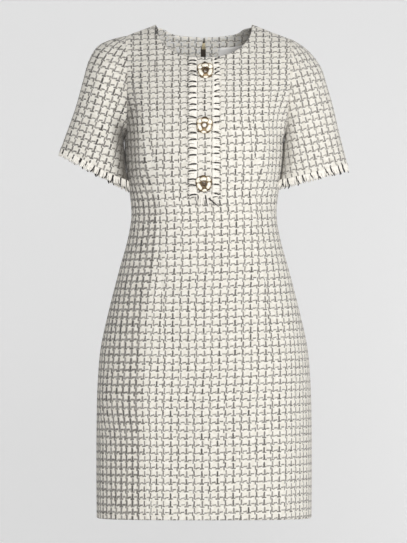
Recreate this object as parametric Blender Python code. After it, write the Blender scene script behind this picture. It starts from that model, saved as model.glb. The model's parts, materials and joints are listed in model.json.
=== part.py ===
"""Short-sleeved sheath dress in check tweed, as worn and filled out, with no wearer.

Metres, +Z up, front towards -Y, +X on the viewer's right. The origin lies midway between
the two points where the shoulder seams meet the neck. Every piece of cloth is a wall of
its own, and walls stop a little short of each other at the seams.
"""
import math
from collections import namedtuple

import bpy
import bmesh
from mathutils import Vector

# Lengths down from the shoulder at the neck.
HEM = -0.890
UNDERARM = -0.207
NECK_HALF = 0.0875
FRONT_NECK_DROP = 0.0600
BACK_NECK_DROP = 0.0220
NECK_ROUNDNESS = 2.1
SHOULDER_SLOPE = 0.33
FRONT_SLOPE = 1.5
BACK_SLOPE = 1.0

# Cloth.
TWEED = 0.0020
PLACKET_CLOTH = 0.0014
FACING_CLOTH = 0.0012
LINING_CLOTH = 0.0010
GAP = 0.0003
LAY_GAP = 0.0008
INNER_GAP = 0.00095
SEAM_EASE = 0.0002
FOLDED_BACK = 0.3

# Grid of the panels.
NECK_COLUMNS = 5
SIDE_COLUMNS = 5
SKIRT_ROWS = 20
CHEST_ROWS = 10

# Horizontal sections of the body, from the hem to the underarm.
Section = namedtuple("Section", "height half_width front_depth back_depth roundness")
SECTIONS = (
    Section(-0.890, 0.1935, 0.1100, 0.1160, 2.70),
    Section(-0.800, 0.1940, 0.1110, 0.1190, 2.70),
    Section(-0.700, 0.1935, 0.1120, 0.1230, 2.65),
    Section(-0.640, 0.1915, 0.1110, 0.1250, 2.60),
    Section(-0.580, 0.1860, 0.1085, 0.1220, 2.50),
    Section(-0.510, 0.1705, 0.1030, 0.1120, 2.40),
    Section(-0.440, 0.1525, 0.0960, 0.1010, 2.35),
    Section(-0.390, 0.1385, 0.0930, 0.0940, 2.30),
    Section(-0.345, 0.1310, 0.0940, 0.0900, 2.30),
    Section(-0.300, 0.1350, 0.1030, 0.0920, 2.30),
    Section(-0.255, 0.1430, 0.1160, 0.0960, 2.30),
    Section(-0.225, 0.1465, 0.1210, 0.0980, 2.30),
    Section(-0.207, 0.1475, 0.1210, 0.0980, 2.30),
)

# How far out the armhole seam lies on each side, from the underarm (0) to the shoulder (1).
Armhole = namedtuple("Armhole", "rise left right")
ARMHOLES = (
    Armhole(0.00, 0.1475, 0.1475),
    Armhole(0.15, 0.1430, 0.1490),
    Armhole(0.35, 0.1390, 0.1520),
    Armhole(0.65, 0.1375, 0.1570),
    Armhole(0.85, 0.1380, 0.1575),
    Armhole(1.00, 0.1390, 0.1550),
)
ARMHOLE_FRONT = 0.052
ARMHOLE_BACK = 0.046
ARMHOLE_FULLNESS = 0.85

# Rings of each sleeve beyond the armhole: its line over the arm, its seam under the arm.
Ring = namedtuple("Ring", "top_x top_z under_x under_z half_depth")
LEFT_SLEEVE = (
    Ring(0.1690, -0.0225, 0.1505, -0.2130, 0.0520),
    Ring(0.1925, -0.0360, 0.1525, -0.2220, 0.0550),
    Ring(0.2080, -0.0620, 0.1520, -0.2320, 0.0560),
    Ring(0.2175, -0.0960, 0.1500, -0.2450, 0.0550),
    Ring(0.2300, -0.1430, 0.1470, -0.2600, 0.0520),
    Ring(0.2430, -0.1810, 0.1440, -0.2740, 0.0480),
    Ring(0.2565, -0.2200, 0.1415, -0.2860, 0.0440),
)
RIGHT_SLEEVE = (
    Ring(0.1790, -0.0340, 0.1510, -0.2130, 0.0520),
    Ring(0.1990, -0.0500, 0.1530, -0.2220, 0.0550),
    Ring(0.2150, -0.0740, 0.1525, -0.2320, 0.0560),
    Ring(0.2230, -0.1080, 0.1505, -0.2440, 0.0550),
    Ring(0.2345, -0.1550, 0.1475, -0.2580, 0.0520),
    Ring(0.2460, -0.2040, 0.1445, -0.2720, 0.0480),
    Ring(0.2570, -0.2480, 0.1415, -0.2850, 0.0440),
)
UNDERARM_STEP = 0.0028
UNDERARM_REACH = 0.25
SLEEVE_CLEARANCE = 0.0028

# Long soft folds of the skirt: a trough (negative rise) or a ridge between two places.
Fold = namedtuple("Fold", "front top_x top_z foot_x foot_z rise half_width")
FOLDS = (
    Fold(True, -0.078, -0.450, -0.044, -0.620, -0.0030, 0.022),
    Fold(True, -0.052, -0.600, -0.060, -0.860, -0.0028, 0.030),
    Fold(True, 0.074, -0.500, 0.090, -0.860, 0.0022, 0.030),
    Fold(True, 0.010, -0.560, 0.016, -0.880, 0.0016, 0.034),
    Fold(False, -0.085, -0.470, -0.070, -0.860, -0.0026, 0.028),
    Fold(False, 0.080, -0.500, 0.074, -0.870, -0.0024, 0.030),
)

# Frayed strip down the centre front.
PLACKET_CENTRE = 0.0010
PLACKET_HALF = 0.0150
PLACKET_FOOT = -0.3105
PLACKET_ROWS = 22
PLACKET_COLUMNS = 4

# Fringe: strands on a narrow root strip.
ROOT_WIDTH = 0.0018
ROOT_THICKNESS = 0.0011
STRAND_WIDTH = 0.0022
PLACKET_STRANDS = 40
PLACKET_STRAND_LENGTH = 0.0110
FOOT_STRANDS = 7
FOOT_STRAND_LENGTH = 0.0150
SLEEVE_STRANDS = 44
SLEEVE_STRAND_LENGTH = 0.0085

# Flower buttons.
BUTTON_RADIUS = 0.0150
BUTTON_SIDES = 20
Button = namedtuple("Button", "x z")
BUTTONS = (
    Button(0.0018, -0.0815),
    Button(0.0007, -0.1820),
    Button(-0.0004, -0.2860),
)
# Rings of a button: share of its radius, height, and how many petals the ring follows.
Relief = namedtuple("Relief", "share height petals swing")
BUTTON_RELIEF = (
    Relief(0.93, 0.0000, 5, 0.07),
    Relief(1.00, 0.0012, 5, 0.08),
    Relief(0.90, 0.0030, 5, 0.08),
    Relief(0.68, 0.0034, 5, 0.05),
    Relief(0.60, 0.0050, 3, 0.12),
    Relief(0.36, 0.0056, 3, 0.10),
    Relief(0.26, 0.0068, 3, 0.00),
    Relief(0.12, 0.0060, 3, 0.00),
)

# Zip at the centre back.
ZIP_OPENING_HALF = 0.0050
ZIP_FOOT = -0.556
ZIP_TAPER = 0.012
SEAM_HALF = 0.00015
ZIP_TOP = -0.0330
TAPE_HALF = 0.0130
TAPE_GAP = 0.0006
TAPE_THICKNESS = 0.0008
CHAIN_HALF = 0.0028
CHAIN_BACK = -0.0010
CHAIN_FACE = 0.0014

# Slider: two plates joined above the end of the chain, with a bridge for the pull.
SLIDER_HALF = 0.0041
SLIDER_PLATE = 0.0012
SLIDER_OUTER = 0.0020
SLIDER_INNER = -0.0031
SLIDER_LENGTH = 0.0120
SLIDER_NECK = 0.0035
BRIDGE_HALF = 0.0009
BRIDGE_THICKNESS = 0.0011
BRIDGE_HEIGHT = 0.0034
BRIDGE_TOP = 0.0020
BRIDGE_FOOT = 0.0095
PULL_HINGE_DOWN = 0.0068
PULL_THICKNESS = 0.0011
PULL_HALF = 0.0030
PULL_EYE_HALF = 0.0016
PULL_EYE_LENGTH = 0.0052
PULL_LENGTH = 0.0240
PULL_TAIL_HALF = 0.0022
PULL_BAR = 0.0006

# Inside of the back.
FACING_DEPTH = 0.0190
FACING_ZIP_DEPTH = 0.0400
FACING_ZIP_HALF = 0.0230
FACING_ZIP_EDGE = 0.0046
FACING_END = 0.0840
FACING_COLUMNS = 9
FACING_ROWS = 3
LINING_FOOT = -0.330
LINING_ROWS = 10


def clear_scene():
    for thing in list(bpy.data.objects):
        bpy.data.objects.remove(thing, do_unlink=True)


def material(name, colour, roughness, metallic=0.0):
    made = bpy.data.materials.new(name)
    made.use_nodes = True
    shader = made.node_tree.nodes["Principled BSDF"]
    shader.inputs["Base Color"].default_value = (*colour, 1.0)
    shader.inputs["Roughness"].default_value = roughness
    shader.inputs["Metallic"].default_value = metallic
    return made


def smooth(rows, column, place):
    """A smooth curve through one column of a table, read at a place in its first column."""
    places = [row[0] for row in rows]
    values = [row[column] for row in rows]
    place = min(max(place, places[0]), places[-1])
    i = 0
    while i < len(rows) - 2 and place > places[i + 1]:
        i += 1
    before, after = max(i - 1, 0), min(i + 2, len(rows) - 1)
    slope_a = (values[i + 1] - values[before]) / (places[i + 1] - places[before])
    slope_b = (values[after] - values[i]) / (places[after] - places[i])
    span = places[i + 1] - places[i]
    t = (place - places[i]) / span
    rise = values[i] * (2 * t**3 - 3 * t**2 + 1) + values[i + 1] * (3 * t**2 - 2 * t**3)
    bend = slope_a * (t**3 - 2 * t**2 + t) + slope_b * (t**3 - t**2)
    return rise + span * bend


def section_at(height):
    columns = range(1, len(Section._fields))
    return Section(height, *(smooth(SECTIONS, column, height) for column in columns))


def across(share, roundness):
    """How much of the full depth is left at a share of the half width."""
    return max(0.0, 1.0 - abs(share) ** roundness) ** (1.0 / roundness)


def shoulder_height(x):
    return -SHOULDER_SLOPE * (x - NECK_HALF)


def neck_height(x, front):
    drop = FRONT_NECK_DROP if front else BACK_NECK_DROP
    return -drop * across(min(abs(x) / NECK_HALF, 1.0), NECK_ROUNDNESS)


def armhole_point(side, rise, front):
    """A point of the armhole seam, from the underarm (0) up to the shoulder (1)."""
    column = 2 if side > 0 else 1
    x = smooth(ARMHOLES, column, rise)
    tip = shoulder_height(ARMHOLES[-1][column])
    turn = math.pi * rise
    z = 0.5 * (UNDERARM + tip) - 0.5 * (tip - UNDERARM) * math.cos(turn)
    depth = -ARMHOLE_FRONT if front else ARMHOLE_BACK
    y = depth * max(0.0, math.sin(turn)) ** ARMHOLE_FULLNESS
    return Vector((side * x, y, z))


def fold_rise(x, z, front):
    """How far the soft folds move the skirt out at a place on it."""
    rise = 0.0
    for fold in FOLDS:
        if fold.front != front:
            continue
        along = (z - fold.top_z) / (fold.foot_z - fold.top_z)
        middle = fold.top_x + along * (fold.foot_x - fold.top_x)
        away = (x - middle) / fold.half_width
        ends = math.sin(math.pi * min(max(along, 0.0), 1.0)) ** 0.5
        rise += fold.rise * ends * math.exp(-away * away)
    return rise


def half_width_at(side, level):
    if level <= 0.0:
        return section_at(UNDERARM - level * (HEM - UNDERARM)).half_width
    return smooth(ARMHOLES, 2 if side > 0 else 1, level)


def body_point(share, level, front):
    """A point of the body: share -1 to 1 across, level -1 at the hem, 0 at the underarm,
    1 at the shoulder."""
    side = 1.0 if share > 0.0 else -1.0
    if level <= 0.0:
        height = UNDERARM - level * (HEM - UNDERARM)
        cut = section_at(height)
        depth = -cut.front_depth if front else cut.back_depth
        x = share * cut.half_width
        inward = across(share, cut.roundness)
        rise = fold_rise(x, height, front) * inward
        y = depth * inward + (-rise if front else rise)
        return Vector((x, y, height))
    cut = section_at(UNDERARM)
    inward = across(share, cut.roundness)
    edge = armhole_point(side, level, front)
    x = share * abs(edge.x)
    turn = 0.5 * math.pi * level
    climb = math.sin(turn)
    if front:
        reach = -cut.front_depth * max(0.0, math.cos(turn)) ** FRONT_SLOPE
    else:
        reach = cut.back_depth * max(0.0, math.cos(turn)) ** BACK_SLOPE
    height = UNDERARM + (shoulder_height(abs(x)) - UNDERARM) * climb
    edge_height = UNDERARM + (shoulder_height(abs(edge.x)) - UNDERARM) * climb
    z = height + (1.0 - inward) * (edge.z - edge_height)
    y = reach * inward + edge.y * (1.0 - inward)
    return Vector((x, y, z))


def body_at(x, z, front):
    """The point of the body at a place seen from the front."""
    side = 1.0 if x > 0.0 else -1.0
    low, high = -1.0, 1.0
    for _ in range(40):
        level = 0.5 * (low + high)
        point = body_point(x / half_width_at(side, level), level, front)
        if point.z < z:
            low = level
        else:
            high = level
    return point


def body_normal(x, z, front):
    step = 0.002
    right = body_at(x + step, z, front) - body_at(x - step, z, front)
    up = body_at(x, z + step, front) - body_at(x, z - step, front)
    normal = right.cross(up).normalized()
    return normal if (normal.y < 0.0) == front else -normal


def off_body(x, z, front, out):
    """A point of the body moved out along its normal, or in where out is negative."""
    return body_at(x, z, front) + out * body_normal(x, z, front)


def top_level(share, front):
    """The level where a column of a panel ends, at the neck edge or the shoulder."""
    side = 1.0 if share > 0.0 else -1.0
    if abs(share) * half_width_at(side, 1.0) >= NECK_HALF - 1e-6:
        return 1.0
    low, high = 0.0, 1.0
    for _ in range(40):
        level = 0.5 * (low + high)
        point = body_point(share, level, front)
        if point.z < neck_height(point.x, front):
            low = level
        else:
            high = level
    return level


def panel_shares(side):
    """Columns of one half of a panel: round the neck, then round to the side seam."""
    full = half_width_at(side, 1.0)
    roundness = section_at(UNDERARM).roundness
    shares = []
    for i in range(NECK_COLUMNS + 1):
        turn = 0.5 * math.pi * i / NECK_COLUMNS
        shares.append(side * NECK_HALF * math.sin(turn) / full)
    start = math.asin((NECK_HALF / full) ** (0.5 * roundness))
    for i in range(1, SIDE_COLUMNS + 1):
        turn = start + (0.5 * math.pi - start) * i / SIDE_COLUMNS
        shares.append(side * math.sin(turn) ** (2.0 / roundness))
    return shares


def zip_half(z):
    """Half the opening between the two back pieces."""
    t = min(max((z - ZIP_FOOT + ZIP_TAPER) / ZIP_TAPER, 0.0), 1.0)
    return SEAM_HALF + (ZIP_OPENING_HALF - SEAM_HALF) * t


def column_levels(share, front):
    levels = [-1.0 + i / SKIRT_ROWS for i in range(SKIRT_ROWS)]
    top = top_level(share, front)
    levels += [top * i / CHEST_ROWS for i in range(CHEST_ROWS + 1)]
    return levels


def front_grid():
    shares = panel_shares(-1.0)[::-1] + panel_shares(1.0)[1:]
    return [[body_point(s, v, True) for v in column_levels(s, True)] for s in shares]


def back_grid(side):
    columns = []
    for i, share in enumerate(panel_shares(side)):
        column = []
        for level in column_levels(share, False):
            point = body_point(share, level, False)
            if i == 0:
                edge = side * zip_half(point.z)
                point = body_point(edge / half_width_at(side, level), level, False)
            column.append(point)
        columns.append(column)
    return columns


def push_clear(point, side):
    """Keeps a sleeve outside the body below the underarm."""
    if point.z > UNDERARM:
        return point
    cut = section_at(point.z)
    depth = cut.front_depth if point.y < 0.0 else cut.back_depth
    edge = cut.half_width * across(min(abs(point.y) / depth, 1.0), cut.roundness)
    out = max(abs(point.x), edge + SLEEVE_CLEARANCE)
    return Vector((side * out, point.y, point.z))


def sleeve_grid(side):
    """Rings of a sleeve, each from the underarm up over the front and down the back."""
    rings = RIGHT_SLEEVE if side > 0 else LEFT_SLEEVE
    count = 2 * CHEST_ROWS
    first = []
    for i in range(count):
        rise = i / CHEST_ROWS if i <= CHEST_ROWS else 2.0 - i / CHEST_ROWS
        first.append(armhole_point(side, rise, i <= CHEST_ROWS))
    grid = [first]
    for ring in rings:
        top = Vector((side * ring.top_x, 0.0, ring.top_z))
        under = Vector((side * ring.under_x, 0.0, ring.under_z))
        middle, reach = 0.5 * (top + under), 0.5 * (top - under)
        row = []
        for i in range(count):
            turn = math.pi * i / CHEST_ROWS
            point = middle - math.cos(turn) * reach
            point.y = -ring.half_depth * math.sin(turn)
            row.append(push_clear(point, side))
        grid.append(row)
    return grid


def step_out_under_arm(columns, side):
    """Moves the start of a sleeve outside the body where it folds down under the arm."""
    for i, column in enumerate(columns):
        rise = min(i, len(columns) - i) / CHEST_ROWS
        low = max(0.0, 1.0 - rise / UNDERARM_REACH)
        column[0] = column[0] + Vector((side * UNDERARM_STEP * low, 0.0, 0.0))


def key(point):
    return tuple(round(value * 20000.0) for value in point)


def grid_normals(grid, closed):
    """Outward normals at the points of a grid, from the faces round each point."""
    columns, rows = len(grid), len(grid[0])
    sums = [[Vector() for _ in range(rows)] for _ in range(columns)]
    for i in range(columns if closed else columns - 1):
        following = (i + 1) % columns
        for j in range(rows - 1):
            a, b = grid[i][j], grid[following][j]
            c, d = grid[following][j + 1], grid[i][j + 1]
            face = (c - a).cross(d - b)
            for column, row in ((i, j), (following, j), (following, j + 1), (i, j + 1)):
                sums[column][row] += face
    return [[normal.normalized() for normal in column] for column in sums]


def agree_at_seams(pieces):
    """Walls that meet edge to edge get one normal there, so that their ends are parallel."""
    shared = {}
    for grid, normals in pieces:
        for column, column_normals in zip(grid, normals):
            for point, normal in zip(column, column_normals):
                shared.setdefault(key(point), []).append(normal)
    for grid, normals in pieces:
        for column, column_normals in zip(grid, normals):
            for j, point in enumerate(column):
                meeting = shared[key(point)]
                total = sum(meeting, Vector()).normalized()
                if min(total.dot(normal) for normal in meeting) > FOLDED_BACK:
                    column_normals[j] = total


def mesh_object(name, vertices, faces, finish, rounded=True):
    mesh = bpy.data.meshes.new(name)
    mesh.from_pydata([tuple(v) for v in vertices], [], faces)
    shape = bmesh.new()
    shape.from_mesh(mesh)
    bmesh.ops.recalc_face_normals(shape, faces=shape.faces)
    shape.to_mesh(mesh)
    shape.free()
    mesh.materials.append(finish)
    if rounded:
        mesh.shade_smooth()
        mesh.set_sharp_from_angle(angle=math.radians(40.0))
    made = bpy.data.objects.new(name, mesh)
    bpy.context.scene.collection.objects.link(made)
    return made


def wall(name, grid, normals, thickness, finish, closed=False, ease=0.0, seam_row=-1):
    """A wall of even thickness about a grid of points, open or closed round. It is drawn
    back by ease from its neighbours, at its sides and at its seam row."""
    columns, rows = len(grid), len(grid[0])
    middle = [[Vector(point) for point in column] for column in grid]
    if ease and not closed:
        for j in range(rows):
            for edge, inner in ((0, 1), (columns - 1, columns - 2)):
                middle[edge][j] += ease * (grid[inner][j] - grid[edge][j]).normalized()
    if ease:
        inner = seam_row + (1 if seam_row == 0 else -1)
        for i in range(columns):
            middle[i][seam_row] += ease * (grid[i][inner] - grid[i][seam_row]).normalized()
    half = 0.5 * thickness
    vertices = []
    for sign in (1.0, -1.0):
        for i in range(columns):
            for j in range(rows):
                vertices.append(middle[i][j] + sign * half * normals[i][j])
    inside = columns * rows
    steps = columns if closed else columns - 1
    faces = []
    for i in range(steps):
        following = (i + 1) % columns
        for j in range(rows - 1):
            a, b = i * rows + j, following * rows + j
            faces.append((a, b, b + 1, a + 1))
            faces.append((inside + a + 1, inside + b + 1, inside + b, inside + a))
        for j in (0, rows - 1):
            a, b = i * rows + j, following * rows + j
            faces.append((a, b, inside + b, inside + a))
    if not closed:
        for i in (0, columns - 1):
            for j in range(rows - 1):
                a = i * rows + j
                faces.append((a, a + 1, inside + a + 1, inside + a))
    return mesh_object(name, vertices, faces, finish)


def swing(i, size):
    """A small uneven offset for strand number i."""
    return size * math.sin(12.9898 * i + 4.1) * math.cos(3.7 * i)


def fringe(name, path, count, length, finish):
    """Strands fused to a root strip. path(t) gives a point, the way along the edge, the way
    that the strands hang, and the way out of the cloth, for t from 0 to 1."""
    stations = []
    for i in range(count):
        for step in (-0.5, 0.5):
            stations.append((i + 0.5 + step * 0.55) / count)
    stations = [0.0] + stations + [1.0]
    half = 0.5 * ROOT_THICKNESS
    vertices = []
    for t in stations:
        point, _, hang, out = path(t)
        vertices.append(point - half * out)
        vertices.append(point + half * out)
        vertices.append(point + ROOT_WIDTH * hang + half * out)
        vertices.append(point + ROOT_WIDTH * hang - half * out)
    faces = [(0, 1, 2, 3)]
    last = 4 * (len(stations) - 1)
    faces.append((last + 3, last + 2, last + 1, last))
    for k in range(len(stations) - 1):
        a, b = 4 * k, 4 * k + 4
        faces.append((a, a + 1, b + 1, b))
        faces.append((a + 1, a + 2, b + 2, b + 1))
        faces.append((a + 3, a, b, b + 3))
        if k % 2 == 0:
            faces.append((a + 2, a + 3, b + 3, b + 2))
            continue
        i = k // 2
        point, along, hang, out = path(0.5 * (stations[k] + stations[k + 1]))
        reach = ROOT_WIDTH + length * (1.0 + swing(i, 0.22))
        tip = point + reach * hang + swing(i + 7, 0.0016) * along
        spread = 0.3 * STRAND_WIDTH * along
        tips = len(vertices)
        for step, sign in ((-1, 1), (1, 1), (1, -1), (-1, -1)):
            vertices.append(tip + step * spread + sign * 0.7 * half * out)
        base = (a + 2, b + 2, b + 3, a + 3)
        for e in range(4):
            f = (e + 1) % 4
            faces.append((base[e], base[f], tips + f, tips + e))
        faces.append((tips, tips + 1, tips + 2, tips + 3))
    return mesh_object(name, vertices, faces, finish, rounded=False)


def placket_out():
    return 0.5 * TWEED + LAY_GAP + 0.5 * PLACKET_CLOTH


def placket(finish):
    grid = []
    for i in range(PLACKET_COLUMNS + 1):
        x = PLACKET_CENTRE + PLACKET_HALF * (2.0 * i / PLACKET_COLUMNS - 1.0)
        top = neck_height(x, True) - GAP
        column = []
        for j in range(PLACKET_ROWS + 1):
            z = PLACKET_FOOT + (top - PLACKET_FOOT) * j / PLACKET_ROWS
            column.append(off_body(x, z, True, placket_out()))
        grid.append(column)
    wall("placket", grid, grid_normals(grid, False), PLACKET_CLOTH, finish)


def placket_fringes(finish):
    out = 0.5 * TWEED + LAY_GAP + 0.5 * ROOT_THICKNESS

    def side_path(side):
        x = PLACKET_CENTRE + side * (PLACKET_HALF + GAP)
        top = neck_height(x, True) - 0.004

        def path(t):
            z = top + (PLACKET_FOOT - top) * t
            point = off_body(x, z, True, out)
            hang = (off_body(x + side * 0.01, z, True, out) - point).normalized()
            return point, Vector((0.0, 0.0, -1.0)), hang, body_normal(x, z, True)
        return path

    def foot_path(t):
        x = PLACKET_CENTRE + PLACKET_HALF * (2.0 * t - 1.0)
        z = PLACKET_FOOT - GAP
        point = off_body(x, z, True, out)
        hang = (off_body(x, z - 0.01, True, out) - point).normalized()
        return point, Vector((1.0, 0.0, 0.0)), hang, body_normal(x, z, True)

    fringe("fringe_placket_left", side_path(-1.0), PLACKET_STRANDS, PLACKET_STRAND_LENGTH, finish)
    fringe("fringe_placket_right", side_path(1.0), PLACKET_STRANDS, PLACKET_STRAND_LENGTH, finish)
    fringe("fringe_placket_foot", foot_path, FOOT_STRANDS, FOOT_STRAND_LENGTH, finish)


def sleeve_fringe(name, side, finish):
    """Fringe round a sleeve's hem, parted at the seam under the arm."""
    grid = sleeve_grid(side)
    hem, above = grid[-1], grid[-2]
    middle = sum(hem, Vector()) / len(hem)
    count = len(hem)

    def path(t):
        place = (0.02 + 0.96 * t) * count
        i = int(place) % count
        part = place - int(place)
        following = (i + 1) % count
        point = hem[i].lerp(hem[following], part)
        upper = above[i].lerp(above[following], part)
        hang = (point - upper).normalized()
        along = (hem[following] - hem[i]).normalized()
        out = along.cross(hang).normalized()
        if out.dot(point - middle) < 0.0:
            out = -out
        return point + GAP * hang, along, hang, out

    fringe(name, path, SLEEVE_STRANDS, SLEEVE_STRAND_LENGTH, finish)


def flower_button(name, button, finish):
    """A domed flower button: five outer petals, three inner ones and a raised ring."""
    out = 0.5 * TWEED + LAY_GAP + PLACKET_CLOTH + GAP
    normal = body_normal(button.x, button.z, True)
    right = Vector((1.0, 0.0, 0.0))
    right = (right - right.dot(normal) * normal).normalized()
    up = right.cross(-normal).normalized()
    centre = body_at(button.x, button.z, True) + (out + 0.0004) * normal
    vertices = [centre]
    for relief in BUTTON_RELIEF:
        for i in range(BUTTON_SIDES):
            turn = 2.0 * math.pi * i / BUTTON_SIDES
            petal = 1.0 + relief.swing * math.cos(relief.petals * (turn - 0.5 * math.pi))
            radius = BUTTON_RADIUS * relief.share * petal
            spot = radius * (math.cos(turn) * right + math.sin(turn) * up)
            vertices.append(centre + spot + relief.height * normal)
    vertices.append(centre + BUTTON_RELIEF[-1].height * normal)
    last = len(vertices) - 1
    faces = []
    for i in range(BUTTON_SIDES):
        following = (i + 1) % BUTTON_SIDES
        faces.append((0, 1 + following, 1 + i))
        for ring in range(len(BUTTON_RELIEF) - 1):
            a = 1 + ring * BUTTON_SIDES
            b = a + BUTTON_SIDES
            faces.append((a + i, a + following, b + following, b + i))
        a = last - BUTTON_SIDES
        faces.append((a + i, a + following, last))
    mesh_object(name, vertices, faces, finish)


def panel_column(share):
    return [body_point(share, level, False) for level in column_levels(share, False)]


def point_at_height(column, z):
    for low, high in zip(column, column[1:]):
        if z <= high.z:
            break
    return low.lerp(high, (z - low.z) / (high.z - low.z))


def zip_line(top, foot):
    """Places down the centre back, on the facets of the back pieces: each with the way out
    and how far the cloth has turned inward at the edge of the tape."""
    next_column = panel_column(panel_shares(1.0)[1])
    rows = []
    for middle in panel_column(0.0):
        beside = point_at_height(next_column, middle.z)
        part = (TAPE_HALF - ZIP_OPENING_HALF) / (beside.x - ZIP_OPENING_HALF)
        rows.append((middle, part * (middle.y - beside.y)))
    line = []
    for (low, low_turn), (high, high_turn) in zip(rows, rows[1:]):
        for z in (foot, top):
            if low.z < z < high.z:
                part = (z - low.z) / (high.z - low.z)
                line.append((low.lerp(high, part), low_turn + part * (high_turn - low_turn)))
        if foot < high.z < top:
            line.append((high, high_turn))
    return [(point, body_normal(0.0, point.z, False), turn) for point, turn in line]


def zip_tape(finish):
    out = -(0.5 * TWEED + TAPE_GAP + 0.5 * TAPE_THICKNESS)
    grid = []
    for x in (-TAPE_HALF, -ZIP_OPENING_HALF, ZIP_OPENING_HALF, TAPE_HALF):
        column = []
        for point, normal, turn in zip_line(ZIP_TOP, ZIP_FOOT - ZIP_TAPER):
            inward = turn if abs(x) == TAPE_HALF else 0.0
            column.append(point + out * normal + Vector((x, -inward, 0.0)))
        grid.append(column)
    normals = grid_normals(grid, False)
    if normals[0][0].y < 0.0:
        normals = [[-n for n in column] for column in normals]
    wall("zip_tape", grid, normals, TAPE_THICKNESS, finish)


def zip_chain(finish):
    line = zip_line(ZIP_TOP, ZIP_FOOT + 0.002)
    vertices = []
    for point, normal, _ in line:
        for x, out in ((-CHAIN_HALF, CHAIN_BACK), (CHAIN_HALF, CHAIN_BACK),
                       (CHAIN_HALF, CHAIN_FACE), (-CHAIN_HALF, CHAIN_FACE)):
            vertices.append(point + out * normal + Vector((x, 0.0, 0.0)))
    last = len(vertices) - 4
    faces = [(0, 1, 2, 3), tuple(last + i for i in (3, 2, 1, 0))]
    for j in range(len(line) - 1):
        for e in range(4):
            f = (e + 1) % 4
            a, b = 4 * j, 4 * j + 4
            faces.append((a + e, a + f, b + f, b + e))
    mesh_object("zip_chain", vertices, faces, finish, rounded=False)


def slider_frame():
    """The place of the slider's top, the way down the chain and the way out."""
    top = body_at(0.0, ZIP_TOP + SLIDER_NECK, False)
    foot = body_at(0.0, ZIP_TOP + SLIDER_NECK - SLIDER_LENGTH, False)
    down = (foot - top).normalized()
    out = Vector((1.0, 0.0, 0.0)).cross(down).normalized()
    if out.y < 0.0:
        out = -out
    return top, down, out


def extrude_outline(name, frame, outline, half, finish):
    """A flat outline of (down, out) pairs, given a width from side to side."""
    top, down, out = frame
    vertices = []
    for x in (-half, half):
        for along, away in outline:
            vertices.append(top + along * down + away * out + Vector((x, 0.0, 0.0)))
    count = len(outline)
    faces = [tuple(range(count)), tuple(range(2 * count - 1, count - 1, -1))]
    for i in range(count):
        following = (i + 1) % count
        faces.append((i, following, count + following, count + i))
    return mesh_object(name, vertices, faces, finish, rounded=False)


def join_exact(target, other):
    """Fuses another solid into the target and removes it."""
    union = target.modifiers.new("union", "BOOLEAN")
    union.operation = "UNION"
    union.object = other
    other.hide_render = True
    other.display_type = "WIRE"


def zip_slider(finish):
    """Two plates and the neck between them, with the bridge over the outer plate."""
    frame = slider_frame()
    outer_face = SLIDER_OUTER + SLIDER_PLATE
    inner_face = SLIDER_INNER - SLIDER_PLATE
    body = extrude_outline("zip_slider", frame, (
        (0.0, inner_face), (0.0, outer_face),
        (SLIDER_LENGTH, outer_face), (SLIDER_LENGTH, SLIDER_OUTER),
        (SLIDER_NECK, SLIDER_OUTER), (SLIDER_NECK, SLIDER_INNER),
        (SLIDER_LENGTH, SLIDER_INNER), (SLIDER_LENGTH, inner_face),
    ), SLIDER_HALF, finish)
    crest = outer_face + BRIDGE_HEIGHT
    sunk = outer_face - 0.5 * SLIDER_PLATE
    bridge = extrude_outline("bridge_cutter", frame, (
        (BRIDGE_TOP, sunk), (BRIDGE_TOP, crest - BRIDGE_THICKNESS),
        (BRIDGE_TOP + BRIDGE_THICKNESS, crest), (BRIDGE_FOOT - BRIDGE_THICKNESS, crest),
        (BRIDGE_FOOT, crest - BRIDGE_THICKNESS), (BRIDGE_FOOT, sunk),
        (BRIDGE_FOOT - BRIDGE_THICKNESS, sunk),
        (BRIDGE_FOOT - BRIDGE_THICKNESS, crest - BRIDGE_THICKNESS),
        (BRIDGE_TOP + BRIDGE_THICKNESS, crest - BRIDGE_THICKNESS),
        (BRIDGE_TOP + BRIDGE_THICKNESS, sunk),
    ), BRIDGE_HALF, finish)
    join_exact(body, bridge)


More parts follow.
